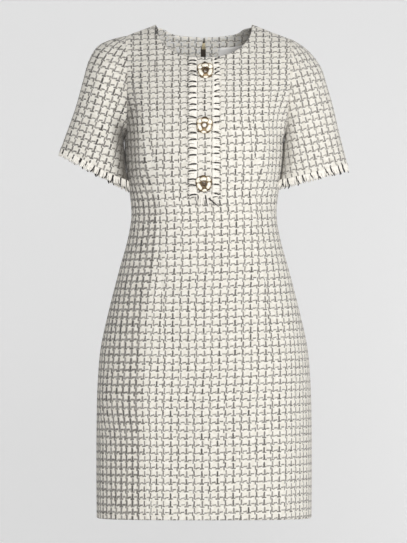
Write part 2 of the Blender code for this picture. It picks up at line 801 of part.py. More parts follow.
def zip_pull(finish):
    """A flat tab with an eye whose top bar lies under the slider's bridge."""
    top, down, out = slider_frame()
    right = Vector((1.0, 0.0, 0.0))
    away = SLIDER_OUTER + SLIDER_PLATE + 0.5 * (BRIDGE_HEIGHT - BRIDGE_THICKNESS)
    hinge = top + PULL_HINGE_DOWN * down + away * out
    eye_top, eye_foot = PULL_BAR, PULL_BAR + PULL_EYE_LENGTH
    outline = (
        (-PULL_HALF, -PULL_BAR), (PULL_HALF, -PULL_BAR), (PULL_HALF, eye_foot),
        (PULL_TAIL_HALF, eye_foot + 0.003), (PULL_TAIL_HALF, PULL_LENGTH - 0.0015),
        (0.5 * PULL_TAIL_HALF, PULL_LENGTH), (-0.5 * PULL_TAIL_HALF, PULL_LENGTH),
        (-PULL_TAIL_HALF, PULL_LENGTH - 0.0015), (-PULL_TAIL_HALF, eye_foot + 0.003),
        (-PULL_HALF, eye_foot),
    )
    eye = (
        (-PULL_EYE_HALF, eye_top), (PULL_EYE_HALF, eye_top),
        (PULL_EYE_HALF, eye_foot), (-PULL_EYE_HALF, eye_foot),
    )
    shape = bmesh.new()
    edges = []
    for loop in (outline, eye):
        points = [shape.verts.new((x * right + d * down)) for x, d in loop]
        for i, point in enumerate(points):
            edges.append(shape.edges.new((point, points[(i + 1) % len(points)])))
    bmesh.ops.triangle_fill(shape, use_beauty=True, edges=edges, normal=out)
    for vertex in shape.verts:
        vertex.co -= 0.5 * PULL_THICKNESS * out
    extruded = bmesh.ops.extrude_face_region(shape, geom=list(shape.faces))
    for item in extruded["geom"]:
        if isinstance(item, bmesh.types.BMVert):
            item.co += PULL_THICKNESS * out
    bmesh.ops.recalc_face_normals(shape, faces=shape.faces)
    mesh = bpy.data.meshes.new("zip_pull")
    shape.to_mesh(mesh)
    shape.free()
    mesh.materials.append(finish)
    made = bpy.data.objects.new("zip_pull", mesh)
    made.location = hinge
    bpy.context.scene.collection.objects.link(made)


def inner_depth(x, cloth):
    """How far inside the tweed the facing and lining lie: over the tape, then against it."""
    over_tape = 0.5 * TWEED + TAPE_GAP + TAPE_THICKNESS + 1.6 * INNER_GAP + 0.5 * cloth
    against = 0.5 * TWEED + INNER_GAP + 0.5 * cloth
    t = min(max((abs(x) - TAPE_HALF - 0.001) / 0.008, 0.0), 1.0)
    t = t * t * (3.0 - 2.0 * t)
    return -(over_tape + (against - over_tape) * t)


def facing_foot(x):
    """Lower edge of the facing: deep beside the zip, even round the neck."""
    t = min(max((abs(x) - FACING_ZIP_HALF) / 0.006, 0.0), 1.0)
    depth = FACING_ZIP_DEPTH + (FACING_DEPTH - FACING_ZIP_DEPTH) * t
    return neck_height(0.0, False) - depth + 0.5 * (neck_height(x, False) + BACK_NECK_DROP)


def inside_back(side, facing_finish, lining_finish):
    """The neck facing and the lining below it on one side of the zip."""
    label = "right" if side > 0 else "left"
    places = [FACING_ZIP_EDGE, FACING_ZIP_HALF, FACING_ZIP_HALF + 0.006]
    left_over = FACING_COLUMNS - 2
    for i in range(1, left_over + 1):
        turn = 0.5 * math.pi * i / left_over
        places.append(places[2] + (FACING_END - places[2]) * math.sin(turn))
    facing, lining = [], []
    for place in places:
        x = side * place
        top = neck_height(x, False) - GAP
        foot = facing_foot(x)
        out = inner_depth(x, FACING_CLOTH)
        facing.append([
            off_body(x, foot + (top - foot) * j / FACING_ROWS, False, out)
            for j in range(FACING_ROWS + 1)
        ])
        out = inner_depth(x, LINING_CLOTH)
        top = foot - GAP
        lining.append([
            off_body(x, LINING_FOOT + (top - LINING_FOOT) * j / LINING_ROWS, False, out)
            for j in range(LINING_ROWS + 1)
        ])
    for name, grid, cloth, finish in (
        ("facing_", facing, FACING_CLOTH, facing_finish),
        ("lining_", lining, LINING_CLOTH, lining_finish),
    ):
        wall(name + label, grid, grid_normals(grid, False), cloth, finish)


def build():
    clear_scene()
    tweed = material("tweed", (0.80, 0.77, 0.71), 0.9)
    fray = material("fringe_yarn", (0.55, 0.52, 0.48), 0.9)
    satin = material("satin", (0.72, 0.71, 0.70), 0.35)
    gold = material("gold", (0.78, 0.58, 0.30), 0.3, 1.0)
    tape = material("zip_tape", (0.05, 0.04, 0.035), 0.85)
    bronze = material("zip_teeth", (0.16, 0.12, 0.08), 0.4, 1.0)

    front = front_grid()
    backs = {side: back_grid(side) for side in (-1.0, 1.0)}
    sleeves = {
        side: [list(column) for column in zip(*sleeve_grid(side))] for side in (-1.0, 1.0)
    }
    front_normals = grid_normals(front, False)
    if front_normals[len(front) // 2][0].y > 0.0:
        front_normals = [[-n for n in column] for column in front_normals]
    back_normals = {}
    for side, grid in backs.items():
        normals = grid_normals(grid, False)
        if normals[1][0].y < 0.0:
            normals = [[-n for n in column] for column in normals]
        back_normals[side] = normals
    sleeve_normals = {}
    for side, grid in sleeves.items():
        normals = grid_normals(grid, True)
        if normals[CHEST_ROWS][-1].x * side < 0.0:
            normals = [[-n for n in column] for column in normals]
        sleeve_normals[side] = normals
    pieces = [(front, front_normals)]
    pieces += [(backs[side], back_normals[side]) for side in backs]
    pieces += [(sleeves[side], sleeve_normals[side]) for side in sleeves]
    agree_at_seams(pieces)
    wall("front_panel", front, front_normals, TWEED, tweed, ease=SEAM_EASE)
    for side, label in ((-1.0, "left"), (1.0, "right")):
        wall("back_" + label, backs[side], back_normals[side], TWEED, tweed, ease=SEAM_EASE)
        step_out_under_arm(sleeves[side], side)
        wall("sleeve_" + label, sleeves[side], sleeve_normals[side], TWEED, tweed,
             closed=True, ease=SEAM_EASE, seam_row=0)
        sleeve_fringe("fringe_sleeve_" + label, side, fray)
        inside_back(side, tweed, satin)
    placket(tweed)
    placket_fringes(fray)
    for number, button in enumerate(BUTTONS, 1):
        flower_button("button_%d" % number, button, gold)
    zip_tape(tape)
    zip_chain(bronze)
    zip_slider(gold)
    zip_pull(gold)


build()
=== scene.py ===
"""Looks of the short-sleeved sheath dress in check tweed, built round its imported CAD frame.

Metres, +Z up, front towards -Y, +X on the viewer's right. Each piece of cloth is a thin
shell on the form of its solid, with its own creases, and its UV map is in metres of cloth.
"""

import json
import math
from collections import namedtuple
from functools import lru_cache

import bmesh
import bpy
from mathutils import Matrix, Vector, noise
from mathutils.bvhtree import BVHTree

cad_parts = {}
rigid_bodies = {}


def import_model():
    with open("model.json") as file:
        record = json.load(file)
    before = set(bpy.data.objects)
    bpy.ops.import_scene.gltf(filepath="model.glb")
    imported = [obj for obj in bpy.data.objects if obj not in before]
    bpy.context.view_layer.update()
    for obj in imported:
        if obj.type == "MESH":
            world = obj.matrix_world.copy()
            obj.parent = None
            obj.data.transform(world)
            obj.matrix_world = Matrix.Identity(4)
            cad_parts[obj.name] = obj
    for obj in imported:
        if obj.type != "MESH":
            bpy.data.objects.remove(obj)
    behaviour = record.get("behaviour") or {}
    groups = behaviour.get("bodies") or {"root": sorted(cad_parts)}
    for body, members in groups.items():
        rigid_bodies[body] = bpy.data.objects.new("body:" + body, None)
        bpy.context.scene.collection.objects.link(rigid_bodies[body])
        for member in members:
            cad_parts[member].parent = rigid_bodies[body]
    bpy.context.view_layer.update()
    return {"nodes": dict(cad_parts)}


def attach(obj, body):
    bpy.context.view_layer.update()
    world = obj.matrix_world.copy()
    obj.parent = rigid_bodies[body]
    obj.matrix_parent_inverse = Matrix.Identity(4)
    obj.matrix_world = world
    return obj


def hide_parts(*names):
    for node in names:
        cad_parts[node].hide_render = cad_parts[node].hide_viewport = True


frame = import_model()

# Lengths down from the shoulder at the neck.
HEM = -0.8862
UNDERARM = -0.207
NECK_HALF = 0.0875
FRONT_NECK_DROP = 0.0622
BACK_NECK_DROP = 0.0200
NECK_STAND = 0.0050
NECK_STAND_PLACE = 0.0740
NECK_STAND_HALF = 0.0105
NECK_ROUNDNESS = 2.1
SHOULDER_SLOPE = 0.385
FRONT_SLOPE = 1.5
BACK_SLOPE = 1.0

# Cloth.
TWEED = 0.0019
PLACKET_CLOTH = 0.0015
FACING_CLOTH = 0.0012
LINING_CLOTH = 0.0007
TAPE_CLOTH = 0.0008
SEAM_ROLL = 0.0011
SEAM_WIDTH = 0.0050
HEM_TURN = 0.034
HEM_GAP = 0.0024

# Rows and columns of the shells.
PANEL_COLUMNS = 60
CHEST_ROWS = 70
SKIRT_ROWS = 120
HEM_ROWS = 8
SLEEVE_ROUND = 96
SLEEVE_ROWS = 70

# Horizontal sections of the body, from the hem to the underarm.
Section = namedtuple("Section", "height half_width front_depth back_depth roundness")
SECTIONS = (
    Section(-0.890, 0.1935, 0.1100, 0.1160, 2.70),
    Section(-0.800, 0.1940, 0.1110, 0.1190, 2.70),
    Section(-0.700, 0.1935, 0.1120, 0.1230, 2.65),
    Section(-0.640, 0.1915, 0.1110, 0.1250, 2.60),
    Section(-0.580, 0.1860, 0.1085, 0.1220, 2.50),
    Section(-0.510, 0.1705, 0.1030, 0.1120, 2.40),
    Section(-0.440, 0.1525, 0.0960, 0.1010, 2.35),
    Section(-0.390, 0.1385, 0.0930, 0.0940, 2.30),
    Section(-0.345, 0.1310, 0.0940, 0.0900, 2.30),
    Section(-0.300, 0.1345, 0.1030, 0.0920, 2.30),
    Section(-0.255, 0.1410, 0.1160, 0.0960, 2.30),
    Section(-0.225, 0.1432, 0.1210, 0.0980, 2.30),
    Section(-0.207, 0.1440, 0.1210, 0.0980, 2.30),
)

# How far out the armhole seam lies on each side, from the underarm (0) to the shoulder (1).
Armhole = namedtuple("Armhole", "rise left right")
ARMHOLES = (
    Armhole(0.00, 0.1440, 0.1440),
    Armhole(0.15, 0.1390, 0.1465),
    Armhole(0.35, 0.1385, 0.1515),
    Armhole(0.65, 0.1375, 0.1570),
    Armhole(0.85, 0.1380, 0.1575),
    Armhole(1.00, 0.1390, 0.1550),
)
ARMHOLE_FRONT = 0.052
ARMHOLE_BACK = 0.046
ARMHOLE_FULLNESS = 0.85

# Rings of each sleeve: its line over the arm, its seam under the arm.
Ring = namedtuple("Ring", "reach top_x top_z under_x under_z half_depth")
LEFT_SLEEVE = (
    Ring(0.00, 0.1390, -0.0188, 0.1440, -0.2070, 0.0500),
    Ring(0.12, 0.1690, -0.0272, 0.1445, -0.2130, 0.0520),
    Ring(0.24, 0.1920, -0.0395, 0.1445, -0.2220, 0.0550),
    Ring(0.37, 0.2075, -0.0645, 0.1440, -0.2320, 0.0560),
    Ring(0.51, 0.2170, -0.0975, 0.1435, -0.2450, 0.0550),
    Ring(0.70, 0.2300, -0.1440, 0.1420, -0.2610, 0.0520),
    Ring(0.85, 0.2435, -0.1830, 0.1395, -0.2755, 0.0480),
    Ring(1.00, 0.2580, -0.2230, 0.1370, -0.2885, 0.0440),
)
RIGHT_SLEEVE = (
    Ring(0.00, 0.1550, -0.0250, 0.1440, -0.2070, 0.0500),
    Ring(0.11, 0.1780, -0.0395, 0.1440, -0.2130, 0.0520),
    Ring(0.22, 0.1965, -0.0560, 0.1430, -0.2220, 0.0550),
    Ring(0.34, 0.2115, -0.0785, 0.1425, -0.2320, 0.0560),
    Ring(0.48, 0.2210, -0.1095, 0.1420, -0.2440, 0.0550),
    Ring(0.68, 0.2345, -0.1560, 0.1410, -0.2590, 0.0520),
    Ring(0.85, 0.2465, -0.2060, 0.1395, -0.2740, 0.0480),
    Ring(1.00, 0.2580, -0.2510, 0.1370, -0.2840, 0.0440),
)
UNDERARM_STEP = 0.0028
UNDERARM_REACH = 0.25
SLEEVE_CLEARANCE = -0.0006
SLEEVE_LEAN = 0.0120
CLOTH_SET_IN = -0.0012

# Soft creases: troughs (negative rise) and ridges between two places on the front or back.
Fold = namedtuple("Fold", "front top_x top_z foot_x foot_z rise half_width")
FOLDS = (
    Fold(True, -0.078, -0.450, -0.044, -0.620, -0.0034, 0.022),
    Fold(True, -0.052, -0.600, -0.060, -0.860, -0.0032, 0.030),
    Fold(True, -0.100, -0.470, -0.098, -0.800, 0.0016, 0.020),
    Fold(True, 0.074, -0.500, 0.090, -0.860, 0.0022, 0.030),
    Fold(True, 0.010, -0.560, 0.016, -0.880, 0.0016, 0.034),
    Fold(True, 0.118, -0.380, 0.150, -0.640, -0.0014, 0.016),
    Fold(True, -0.098, -0.205, -0.088, -0.262, -0.0014, 0.009),
    Fold(True, -0.128, -0.235, -0.090, -0.340, -0.0012, 0.008),
    Fold(True, -0.122, -0.140, -0.100, -0.215, -0.0012, 0.010),
    Fold(True, 0.138, -0.130, 0.118, -0.225, -0.0016, 0.010),
    Fold(True, 0.124, -0.250, 0.088, -0.300, -0.0010, 0.009),
    Fold(True, -0.120, -0.375, -0.070, -0.362, -0.0009, 0.007),
    Fold(True, 0.122, -0.372, 0.076, -0.356, -0.0009, 0.007),
    Fold(False, -0.085, -0.470, -0.070, -0.860, -0.0026, 0.028),
    Fold(False, 0.080, -0.500, 0.074, -0.870, -0.0024, 0.030),
    Fold(False, -0.020, -0.540, -0.024, -0.870, 0.0016, 0.032),
    Fold(False, -0.118, -0.120, -0.092, -0.230, -0.0018, 0.011),
    Fold(False, 0.124, -0.120, 0.096, -0.225, -0.0018, 0.011),
    Fold(False, -0.112, -0.345, -0.030, -0.372, -0.0014, 0.008),
    Fold(False, 0.110, -0.340, 0.034, -0.362, -0.0012, 0.008),
    Fold(False, -0.104, -0.388, -0.036, -0.398, -0.0011, 0.007),
    Fold(False, 0.106, -0.382, 0.026, -0.402, -0.0012, 0.008),
)
WAVE_SIZE = 0.0007
WAVE_LENGTH = 0.055
FRONT_WAVES = 3.0
BACK_WAVES = 7.0
SLEEVE_WAVES = 11.0
FORWARD = Vector((0.0, -1.0, 0.0))
SIDES = ((-1.0, "left"), (1.0, "right"))

# Dart lines: how far out they lie at each height, and the cloth that they take in.
Dart = namedtuple("Dart", "height left right taken")
FRONT_DARTS = (
    Dart(-0.890, 0.0740, 0.1180, 0.0000),
    Dart(-0.640, 0.0745, 0.1170, 0.0000),
    Dart(-0.505, 0.0750, 0.1130, 0.0060),
    Dart(-0.415, 0.0800, 0.1060, 0.0130),
    Dart(-0.345, 0.0820, 0.0990, 0.0180),
    Dart(-0.300, 0.0925, 0.0980, 0.0150),
    Dart(-0.253, 0.1017, 0.1030, 0.0080),
    Dart(-0.206, 0.1110, 0.1080, 0.0040),
    Dart(-0.118, 0.1134, 0.1120, 0.0000),
    Dart(0.000, 0.1150, 0.1150, 0.0000),
)
BACK_DARTS = (
    Dart(-0.890, 0.0850, 0.0850, 0.0000),
    Dart(-0.560, 0.0850, 0.0850, 0.0000),
    Dart(-0.470, 0.0820, 0.0820, 0.0090),
    Dart(-0.345, 0.0760, 0.0760, 0.0180),
    Dart(-0.240, 0.0800, 0.0800, 0.0050),
    Dart(-0.190, 0.0850, 0.0850, 0.0000),
    Dart(0.000, 0.1150, 0.1150, 0.0000),
)
DART_DEPTH = 0.0011
DART_WIDTH = 0.0045
LEFT_SQUEEZE = 1.25
LEFT_SQUEEZE_HIGH = 1.10
RIGHT_SQUEEZE = 0.38
ROW_TILT = 0.030
SKIRT_DRIFT = 0.0034
WAIST_DRIFT = -0.0032
CHEST_LEAN = 0.36
CHEST_FLAT = 0.1135
CHEST_WIDTH = 0.985
RIGHT_CHEST_EXTRA = 0.060
OUTER_EXTRA = 1.1
DART_COLUMN = 0.60
BESIDE_NECK = 0.62
CHEST_STEPS = 200
SQUEEZE_BLUR = 0.004
SQUEEZE_RIGHT_EDGE = (0.142, 0.158)

# Pairs of heights between which the check's placing changes from one rule to the next.
WAIST_STARTS = (-0.300, -0.350)
WAIST_ENDS = (-0.500, -0.430)
SKIRT_STARTS = (-0.600, -0.700)
TILT_STARTS = (-0.520, -0.430)
STRAIGHT_STARTS = (-0.320, -0.262)
OUTER_ENDS = (-0.205, -0.110)
RIGHT_CHEST_STARTS = (-0.215, -0.165)
LEAN_STARTS = (-0.185, -0.130)
LOW_SKIRT_STARTS = (-0.660, -0.760)
RIGHT_SQUEEZE_STARTS = (-0.470, -0.560)

# Zip at the centre back.
ZIP_OPENING_HALF = 0.0050
ZIP_FOOT = -0.556
ZIP_TAPER = 0.012
SEAM_HALF = 0.00015
ZIP_TOP = -0.0330
ZIP_CLOSES = (-0.0310, -0.0235)
ZIP_NEARLY_SHUT = 0.75
TAPE_TOP = -0.0215
TAPE_HALF = 0.0130

# Frayed strip.
PLACKET_CENTRE = 0.0010
PLACKET_HALF = 0.0150
PLACKET_FOOT = -0.3105
PLACKET_OUT = 0.0019
PLACKET_COLUMNS = 16
PLACKET_ROWS = 120

# Tweed chart, in metres of cloth: dashes in a repeat of two columns by one row.
REPEAT = (0.0279, 0.0134, 1.0)
HALF_REPEAT = tuple(0.5 * size for size in REPEAT)
Dash = namedtuple("Dash", "x y turn half_length half_width tone")
DASHES = (
    Dash(0.0000, 0.0049, 90.0, 0.0038, 0.00134, 1.00),
    Dash(0.0000, 0.0002, 2.0, 0.0028, 0.00108, 0.94),
    Dash(0.0068, 0.0029, 4.0, 0.0021, 0.00100, 0.88),
    Dash(0.0115, 0.0002, 91.0, 0.0028, 0.00100, 0.92),
    Dash(0.0140, 0.0058, 89.0, 0.0037, 0.00116, 0.96),
    Dash(0.0156, 0.0006, -12.0, 0.0015, 0.00096, 0.88),
    Dash(0.0211, 0.0026, 9.0, 0.0026, 0.00100, 0.88),
    Dash(0.0247, 0.0009, 14.0, 0.0010, 0.00070, 0.60),
)
CREAM = (0.87, 0.84, 0.78)
CREAM_SHADE = (0.76, 0.725, 0.65)
DARK_YARN = (0.055, 0.050, 0.046)
# On the front's left side, where it turns away: yarns lie closer, and the cream gets painted shade.
PRESSED_YARNS = 0.62
PAINTED_SIDE_SHADE_TONE = 0.08
PAINTED_SIDE_SHADE_CREAM = (0.60, 0.52, 0.44)
CREASE_SHADE = (0.075, 0.064, 0.048)
DASH_NUDGE = 0.0016
DASH_CORE = 0.55
DASH_RIM = 1.55
PALEST_DASH = 0.68
PALEST_CREAM = 0.93
FLECK_TONE = 0.22
THREAD_PITCH = 0.0021
STRAYS = ((95.0, 0.0018), (420.0, 0.0022))
MIDDLE = (0.5, 0.5, 0.5)
FLAT = (1.0, 1.0, 0.0)

# Photograph's camera.
PIXEL = 0.0018
IMAGE_HIGH = 543
CAMERA_DISTANCE = 10.0
CAMERA_HEIGHT = -0.4446


def smooth(rows, column, place):
    """A smooth curve through one column of a table, read at a place in its first column."""
    places = [row[0] for row in rows]
    values = [row[column] for row in rows]
    place = min(max(place, places[0]), places[-1])
    i = 0
    while i < len(rows) - 2 and place > places[i + 1]:
        i += 1
    before, after = max(i - 1, 0), min(i + 2, len(rows) - 1)
    slope_a = (values[i + 1] - values[before]) / (places[i + 1] - places[before])
    slope_b = (values[after] - values[i]) / (places[after] - places[i])
    span = places[i + 1] - places[i]
    t = (place - places[i]) / span
    rise = values[i] * (2 * t**3 - 3 * t**2 + 1) + values[i + 1] * (3 * t**2 - 2 * t**3)
    bend = slope_a * (t**3 - 2 * t**2 + t) + slope_b * (t**3 - t**2)
    return rise + span * bend


def soft_step(low, high, value):
    t = min(max((value - low) / (high - low), 0.0), 1.0)
    return t * t * (3.0 - 2.0 * t)


@lru_cache(maxsize=None)
def section_at(height):
    columns = range(1, len(Section._fields))
    return Section(height, *(smooth(SECTIONS, column, height) for column in columns))


def across(share, roundness):
    return max(0.0, 1.0 - abs(share) ** roundness) ** (1.0 / roundness)


def shoulder_height(x):
    return -SHOULDER_SLOPE * (x - NECK_HALF)


def neck_height(x, front):
    drop = FRONT_NECK_DROP if front else BACK_NECK_DROP
    height = -drop * across(min(abs(x) / NECK_HALF, 1.0), NECK_ROUNDNESS)
    if not front:
        height += NECK_STAND * math.exp(-((abs(x) - NECK_STAND_PLACE) / NECK_STAND_HALF) ** 2)
    return height


@lru_cache(maxsize=None)
def armhole_point(side, rise, front):
    """A point of the armhole seam, from the underarm (0) up to the shoulder (1)."""
    column = 2 if side > 0 else 1
    x = smooth(ARMHOLES, column, rise)
    tip = shoulder_height(ARMHOLES[-1][column])
    turn = math.pi * rise
    z = 0.5 * (UNDERARM + tip) - 0.5 * (tip - UNDERARM) * math.cos(turn)
    depth = -ARMHOLE_FRONT if front else ARMHOLE_BACK
    y = depth * max(0.0, math.sin(turn)) ** ARMHOLE_FULLNESS
    return Vector((side * x, y, z))


def fold_rise(x, z, front):
    """How far the soft creases move the cloth out at a place on it."""
    rise = 0.0
    for fold in FOLDS:
        if fold.front != front:
            continue
        way_x, way_z = fold.foot_x - fold.top_x, fold.foot_z - fold.top_z
        length = math.hypot(way_x, way_z)
        along = ((x - fold.top_x) * way_x + (z - fold.top_z) * way_z) / length**2
        if not 0.0 < along < 1.0:
            continue
        away = ((x - fold.top_x) * way_z - (z - fold.top_z) * way_x) / length
        away /= fold.half_width
        rise += fold.rise * math.sin(math.pi * along) ** 0.7 * math.exp(-away * away)
    return rise


@lru_cache(maxsize=None)
def half_width_at(side, level):
    if level <= 0.0:
        return section_at(UNDERARM - level * (HEM - UNDERARM)).half_width
    return smooth(ARMHOLES, 2 if side > 0 else 1, level)


def body_point(share, level, front):
    """A point of the body: share -1 to 1 across, level -1 at the hem, 0 at the underarm,
    1 at the shoulder."""
    side = 1.0 if share > 0.0 else -1.0
    if level <= 0.0:
        height = UNDERARM - level * (HEM - UNDERARM)
        cut = section_at(height)
        depth = -cut.front_depth if front else cut.back_depth
        inward = across(share, cut.roundness)
        return Vector((share * cut.half_width, depth * inward, height))
    cut = section_at(UNDERARM)
    inward = across(share, cut.roundness)
    edge = armhole_point(side, level, front)
    x = share * abs(edge.x)
    turn = 0.5 * math.pi * level
    climb = math.sin(turn)
    if front:
        reach = -cut.front_depth * max(0.0, math.cos(turn)) ** FRONT_SLOPE
    else:
        reach = cut.back_depth * max(0.0, math.cos(turn)) ** BACK_SLOPE
    height = UNDERARM + (shoulder_height(abs(x)) - UNDERARM) * climb
    edge_height = UNDERARM + (shoulder_height(abs(edge.x)) - UNDERARM) * climb
    z = height + (1.0 - inward) * (edge.z - edge_height)
    y = reach * inward + edge.y * (1.0 - inward)
    return Vector((x, y, z))


@lru_cache(maxsize=None)
def top_level(share, front):
    """The level where a column of a panel ends, at the neck edge or the shoulder."""
    side = 1.0 if share > 0.0 else -1.0
    if abs(share) * half_width_at(side, 1.0) >= NECK_HALF - 1e-6:
        return 1.0
    low, high = 0.0, 1.0
    for _ in range(40):
        level = 0.5 * (low + high)
        point = body_point(share, level, front)
        if point.z < neck_height(point.x, front):
            low = level
        else:
            high = level
    return level


def zip_half(z):
    """Half the opening between the two back pieces."""
    t = min(max((z - ZIP_FOOT + ZIP_TAPER) / ZIP_TAPER, 0.0), 1.0)
    closed = soft_step(*ZIP_CLOSES, z)
    return SEAM_HALF + (ZIP_OPENING_HALF - SEAM_HALF) * t * (1.0 - ZIP_NEARLY_SHUT * closed)


def half_shares(side, start):
    """Columns of half a panel, from the centre to the side seam. The first half of them covers
    the neck edge, and the rest the shoulder and the side."""
    full = half_width_at(side, 1.0)
    corner = NECK_HALF / full
    roundness = section_at(UNDERARM).roundness
    neck_count = PANEL_COLUMNS // 2
    shares = [start + (corner - start) * math.sin(0.5 * math.pi * i / neck_count) ** 0.8
              for i in range(neck_count + 1)]
    turn_0 = math.asin(corner ** (0.5 * roundness))
    side_count = PANEL_COLUMNS - neck_count
    for i in range(1, side_count + 1):
        turn = turn_0 + (0.5 * math.pi - turn_0) * i / side_count
        shares.append(math.sin(turn) ** (2.0 / roundness))
    return [side * share for share in shares]


def grid_normals(grid, closed):
    """Outward normals at the points of a grid, from the faces round each point."""
    columns, rows = len(grid), len(grid[0])
    sums = [[Vector() for _ in range(rows)] for _ in range(columns)]
    for i in range(columns if closed else columns - 1):
        following = (i + 1) % columns
        for j in range(rows - 1):
            a, b = grid[i][j], grid[following][j]
            c, d = grid[following][j + 1], grid[i][j + 1]
            face = (c - a).cross(d - b)
            for column, row in ((i, j), (following, j), (following, j + 1), (i, j + 1)):
                sums[column][row] += face
    return [[normal.normalized() for normal in column] for column in sums]


def flipped(normals):
    return [[-normal for normal in column] for column in normals]


def normals_towards(grid, way, closed=False):
    """Normals of a grid, turned so that the middle of the grid faces one way."""
    normals = grid_normals(grid, closed)
    middle = normals[len(grid) // 2][len(grid[0]) // 2]
    return flipped(normals) if middle.dot(way) < 0.0 else normals


def shell(name, grid, normals, uv, thickness, finish, closed=False, shift=None):
    """A closed wall of even thickness on a grid. uv gives each point's place in the cloth,
    and shift(i, j) moves the cloth of one face, as a dart does."""
    columns, rows = len(grid), len(grid[0])
    half = 0.5 * thickness
    vertices = []
    for level in (half, -half):
        for i in range(columns):
            for j in range(rows):
                vertices.append(grid[i][j] + level * normals[i][j])
    inside = columns * rows
    faces, corners = [], []
    steps = columns if closed else columns - 1
    for i in range(steps):
        following = (i + 1) % columns
        for j in range(rows - 1):
            a, b = i * rows + j, following * rows + j
            move = shift(i, j) if shift else 0.0
            places = []
            for column, row in ((i, j), (i + 1, j), (i + 1, j + 1), (i, j + 1)):
                u, v = uv[column][row]
                places.append((u + move, v))
            faces.append((a, b, b + 1, a + 1))
            corners.append(places)
            faces.append((inside + a + 1, inside + b + 1, inside + b, inside + a))
            corners.append([places[3], places[2], places[1], places[0]])
        for j in (0, rows - 1):
            a, b = i * rows + j, following * rows + j
            first, second = uv[i][j], uv[i + 1][j]
            faces.append((b, a, inside + a, inside + b) if j == 0 else
                         (a, b, inside + b, inside + a))
            corners.append([second, first, first, second] if j == 0 else
                           [first, second, second, first])
    if not closed:
        for i in (0, columns - 1):
            for j in range(rows - 1):
                a = i * rows + j
                first, second = uv[i][j], uv[i][j + 1]
                faces.append((a, a + 1, inside + a + 1, inside + a) if i == 0 else
                             (a + 1, a, inside + a, inside + a + 1))
                corners.append([first, second, second, first] if i == 0 else
                               [second, first, first, second])
    mesh = bpy.data.meshes.new(name)
    mesh.from_pydata([tuple(v) for v in vertices], [], faces)
    layer = mesh.uv_layers.new(name="cloth")
    flat = [value for places in corners for place in places for value in place]
    layer.data.foreach_set("uv", flat)
    mesh.materials.append(finish)
    mesh.shade_smooth()
    return linked(name, mesh)


def linked(name, data):
    made = bpy.data.objects.new(name, data)
    bpy.context.scene.collection.objects.link(made)
    return made


def wave(point, seed):
    """The cloth's slight unevenness, out of its surface."""
    place = Vector((point.x, point.y, point.z)) / WAVE_LENGTH + Vector((seed, 2.3 * seed, 0.0))
    return WAVE_SIZE * noise.noise(place)


def seam_dip(distance):
    """How far the cloth turns in beside a seam."""
    return -SEAM_ROLL * max(0.0, 1.0 - distance / SEAM_WIDTH) ** 2


# Node graphs.
class Graph:
    """Builds the nodes of one material."""

    def __init__(self, name):
        self.material = bpy.data.materials.new(name)
        self.material.use_nodes = True
        self.tree = self.material.node_tree
        self.shader = self.tree.nodes["Principled BSDF"]

    def put(self, value, socket):
        if isinstance(value, bpy.types.NodeSocket):
            self.tree.links.new(value, socket)
        else:
            socket.default_value = value

    def node(self, kind, **settings):
        made = self.tree.nodes.new(kind)
        for key, value in settings.items():
            setattr(made, key, value)
        return made

    def math(self, operation, *values):
        made = self.node("ShaderNodeMath", operation=operation)
        for value, socket in zip(values, made.inputs):
            self.put(value, socket)
        return made.outputs[0]

    def vector(self, operation, *values):
        made = self.node("ShaderNodeVectorMath", operation=operation)
        for value, socket in zip(values, made.inputs):
            self.put(value, socket)
        scalar = operation in ("DOT_PRODUCT", "DISTANCE")
        return made.outputs["Value" if scalar else "Vector"]

    def scaled(self, vector, factor):
        made = self.node("ShaderNodeVectorMath", operation="SCALE")
        self.put(vector, made.inputs["Vector"])
        self.put(factor, made.inputs["Scale"])
        return made.outputs["Vector"]

    def noise(self, place, scale, detail=2.0, roughness=0.5, output="Fac"):
        made = self.node("ShaderNodeTexNoise", noise_dimensions="3D")
        self.put(place, made.inputs["Vector"])
        made.inputs["Scale"].default_value = scale
        made.inputs["Detail"].default_value = detail
        made.inputs["Roughness"].default_value = roughness
        return made.outputs[output]

    def remap(self, value, low, high, to_low=0.0, to_high=1.0, style="SMOOTHSTEP"):
        made = self.node("ShaderNodeMapRange", interpolation_type=style)
        for number, socket in ((value, 0), (low, 1), (high, 2), (to_low, 3), (to_high, 4)):
            self.put(number, made.inputs[socket])
        return made.outputs[0]

    def mix(self, share, first, second):
        made = self.node("ShaderNodeMix", data_type="RGBA", blend_type="MIX")
        self.put(share, made.inputs["Factor"])
        for colour, socket in ((first, made.inputs[6]), (second, made.inputs[7])):
            self.put((*colour, 1.0) if isinstance(colour, tuple) else colour, socket)
        return made.outputs[2]

    def cloth(self):
        return self.node("ShaderNodeUVMap", uv_map="cloth").outputs["UV"]

    def frame_place(self):
        return self.node("ShaderNodeTexCoord").outputs["Object"]

    def parts(self, place):
        made = self.node("ShaderNodeSeparateXYZ")
        self.put(place, made.inputs[0])
        return made.outputs

    def bump(self, height, distance, strength=1.0):
        made = self.node("ShaderNodeBump")
        made.inputs["Distance"].default_value = distance
        made.inputs["Strength"].default_value = strength
        self.put(height, made.inputs["Height"])
        self.tree.links.new(made.outputs["Normal"], self.shader.inputs["Normal"])

    def set(self, **values):
        for key, value in values.items():
            socket = self.shader.inputs[key.replace("_", " ")]
            self.put((*value, 1.0) if isinstance(value, tuple) and len(value) == 3 else value,
                     socket)
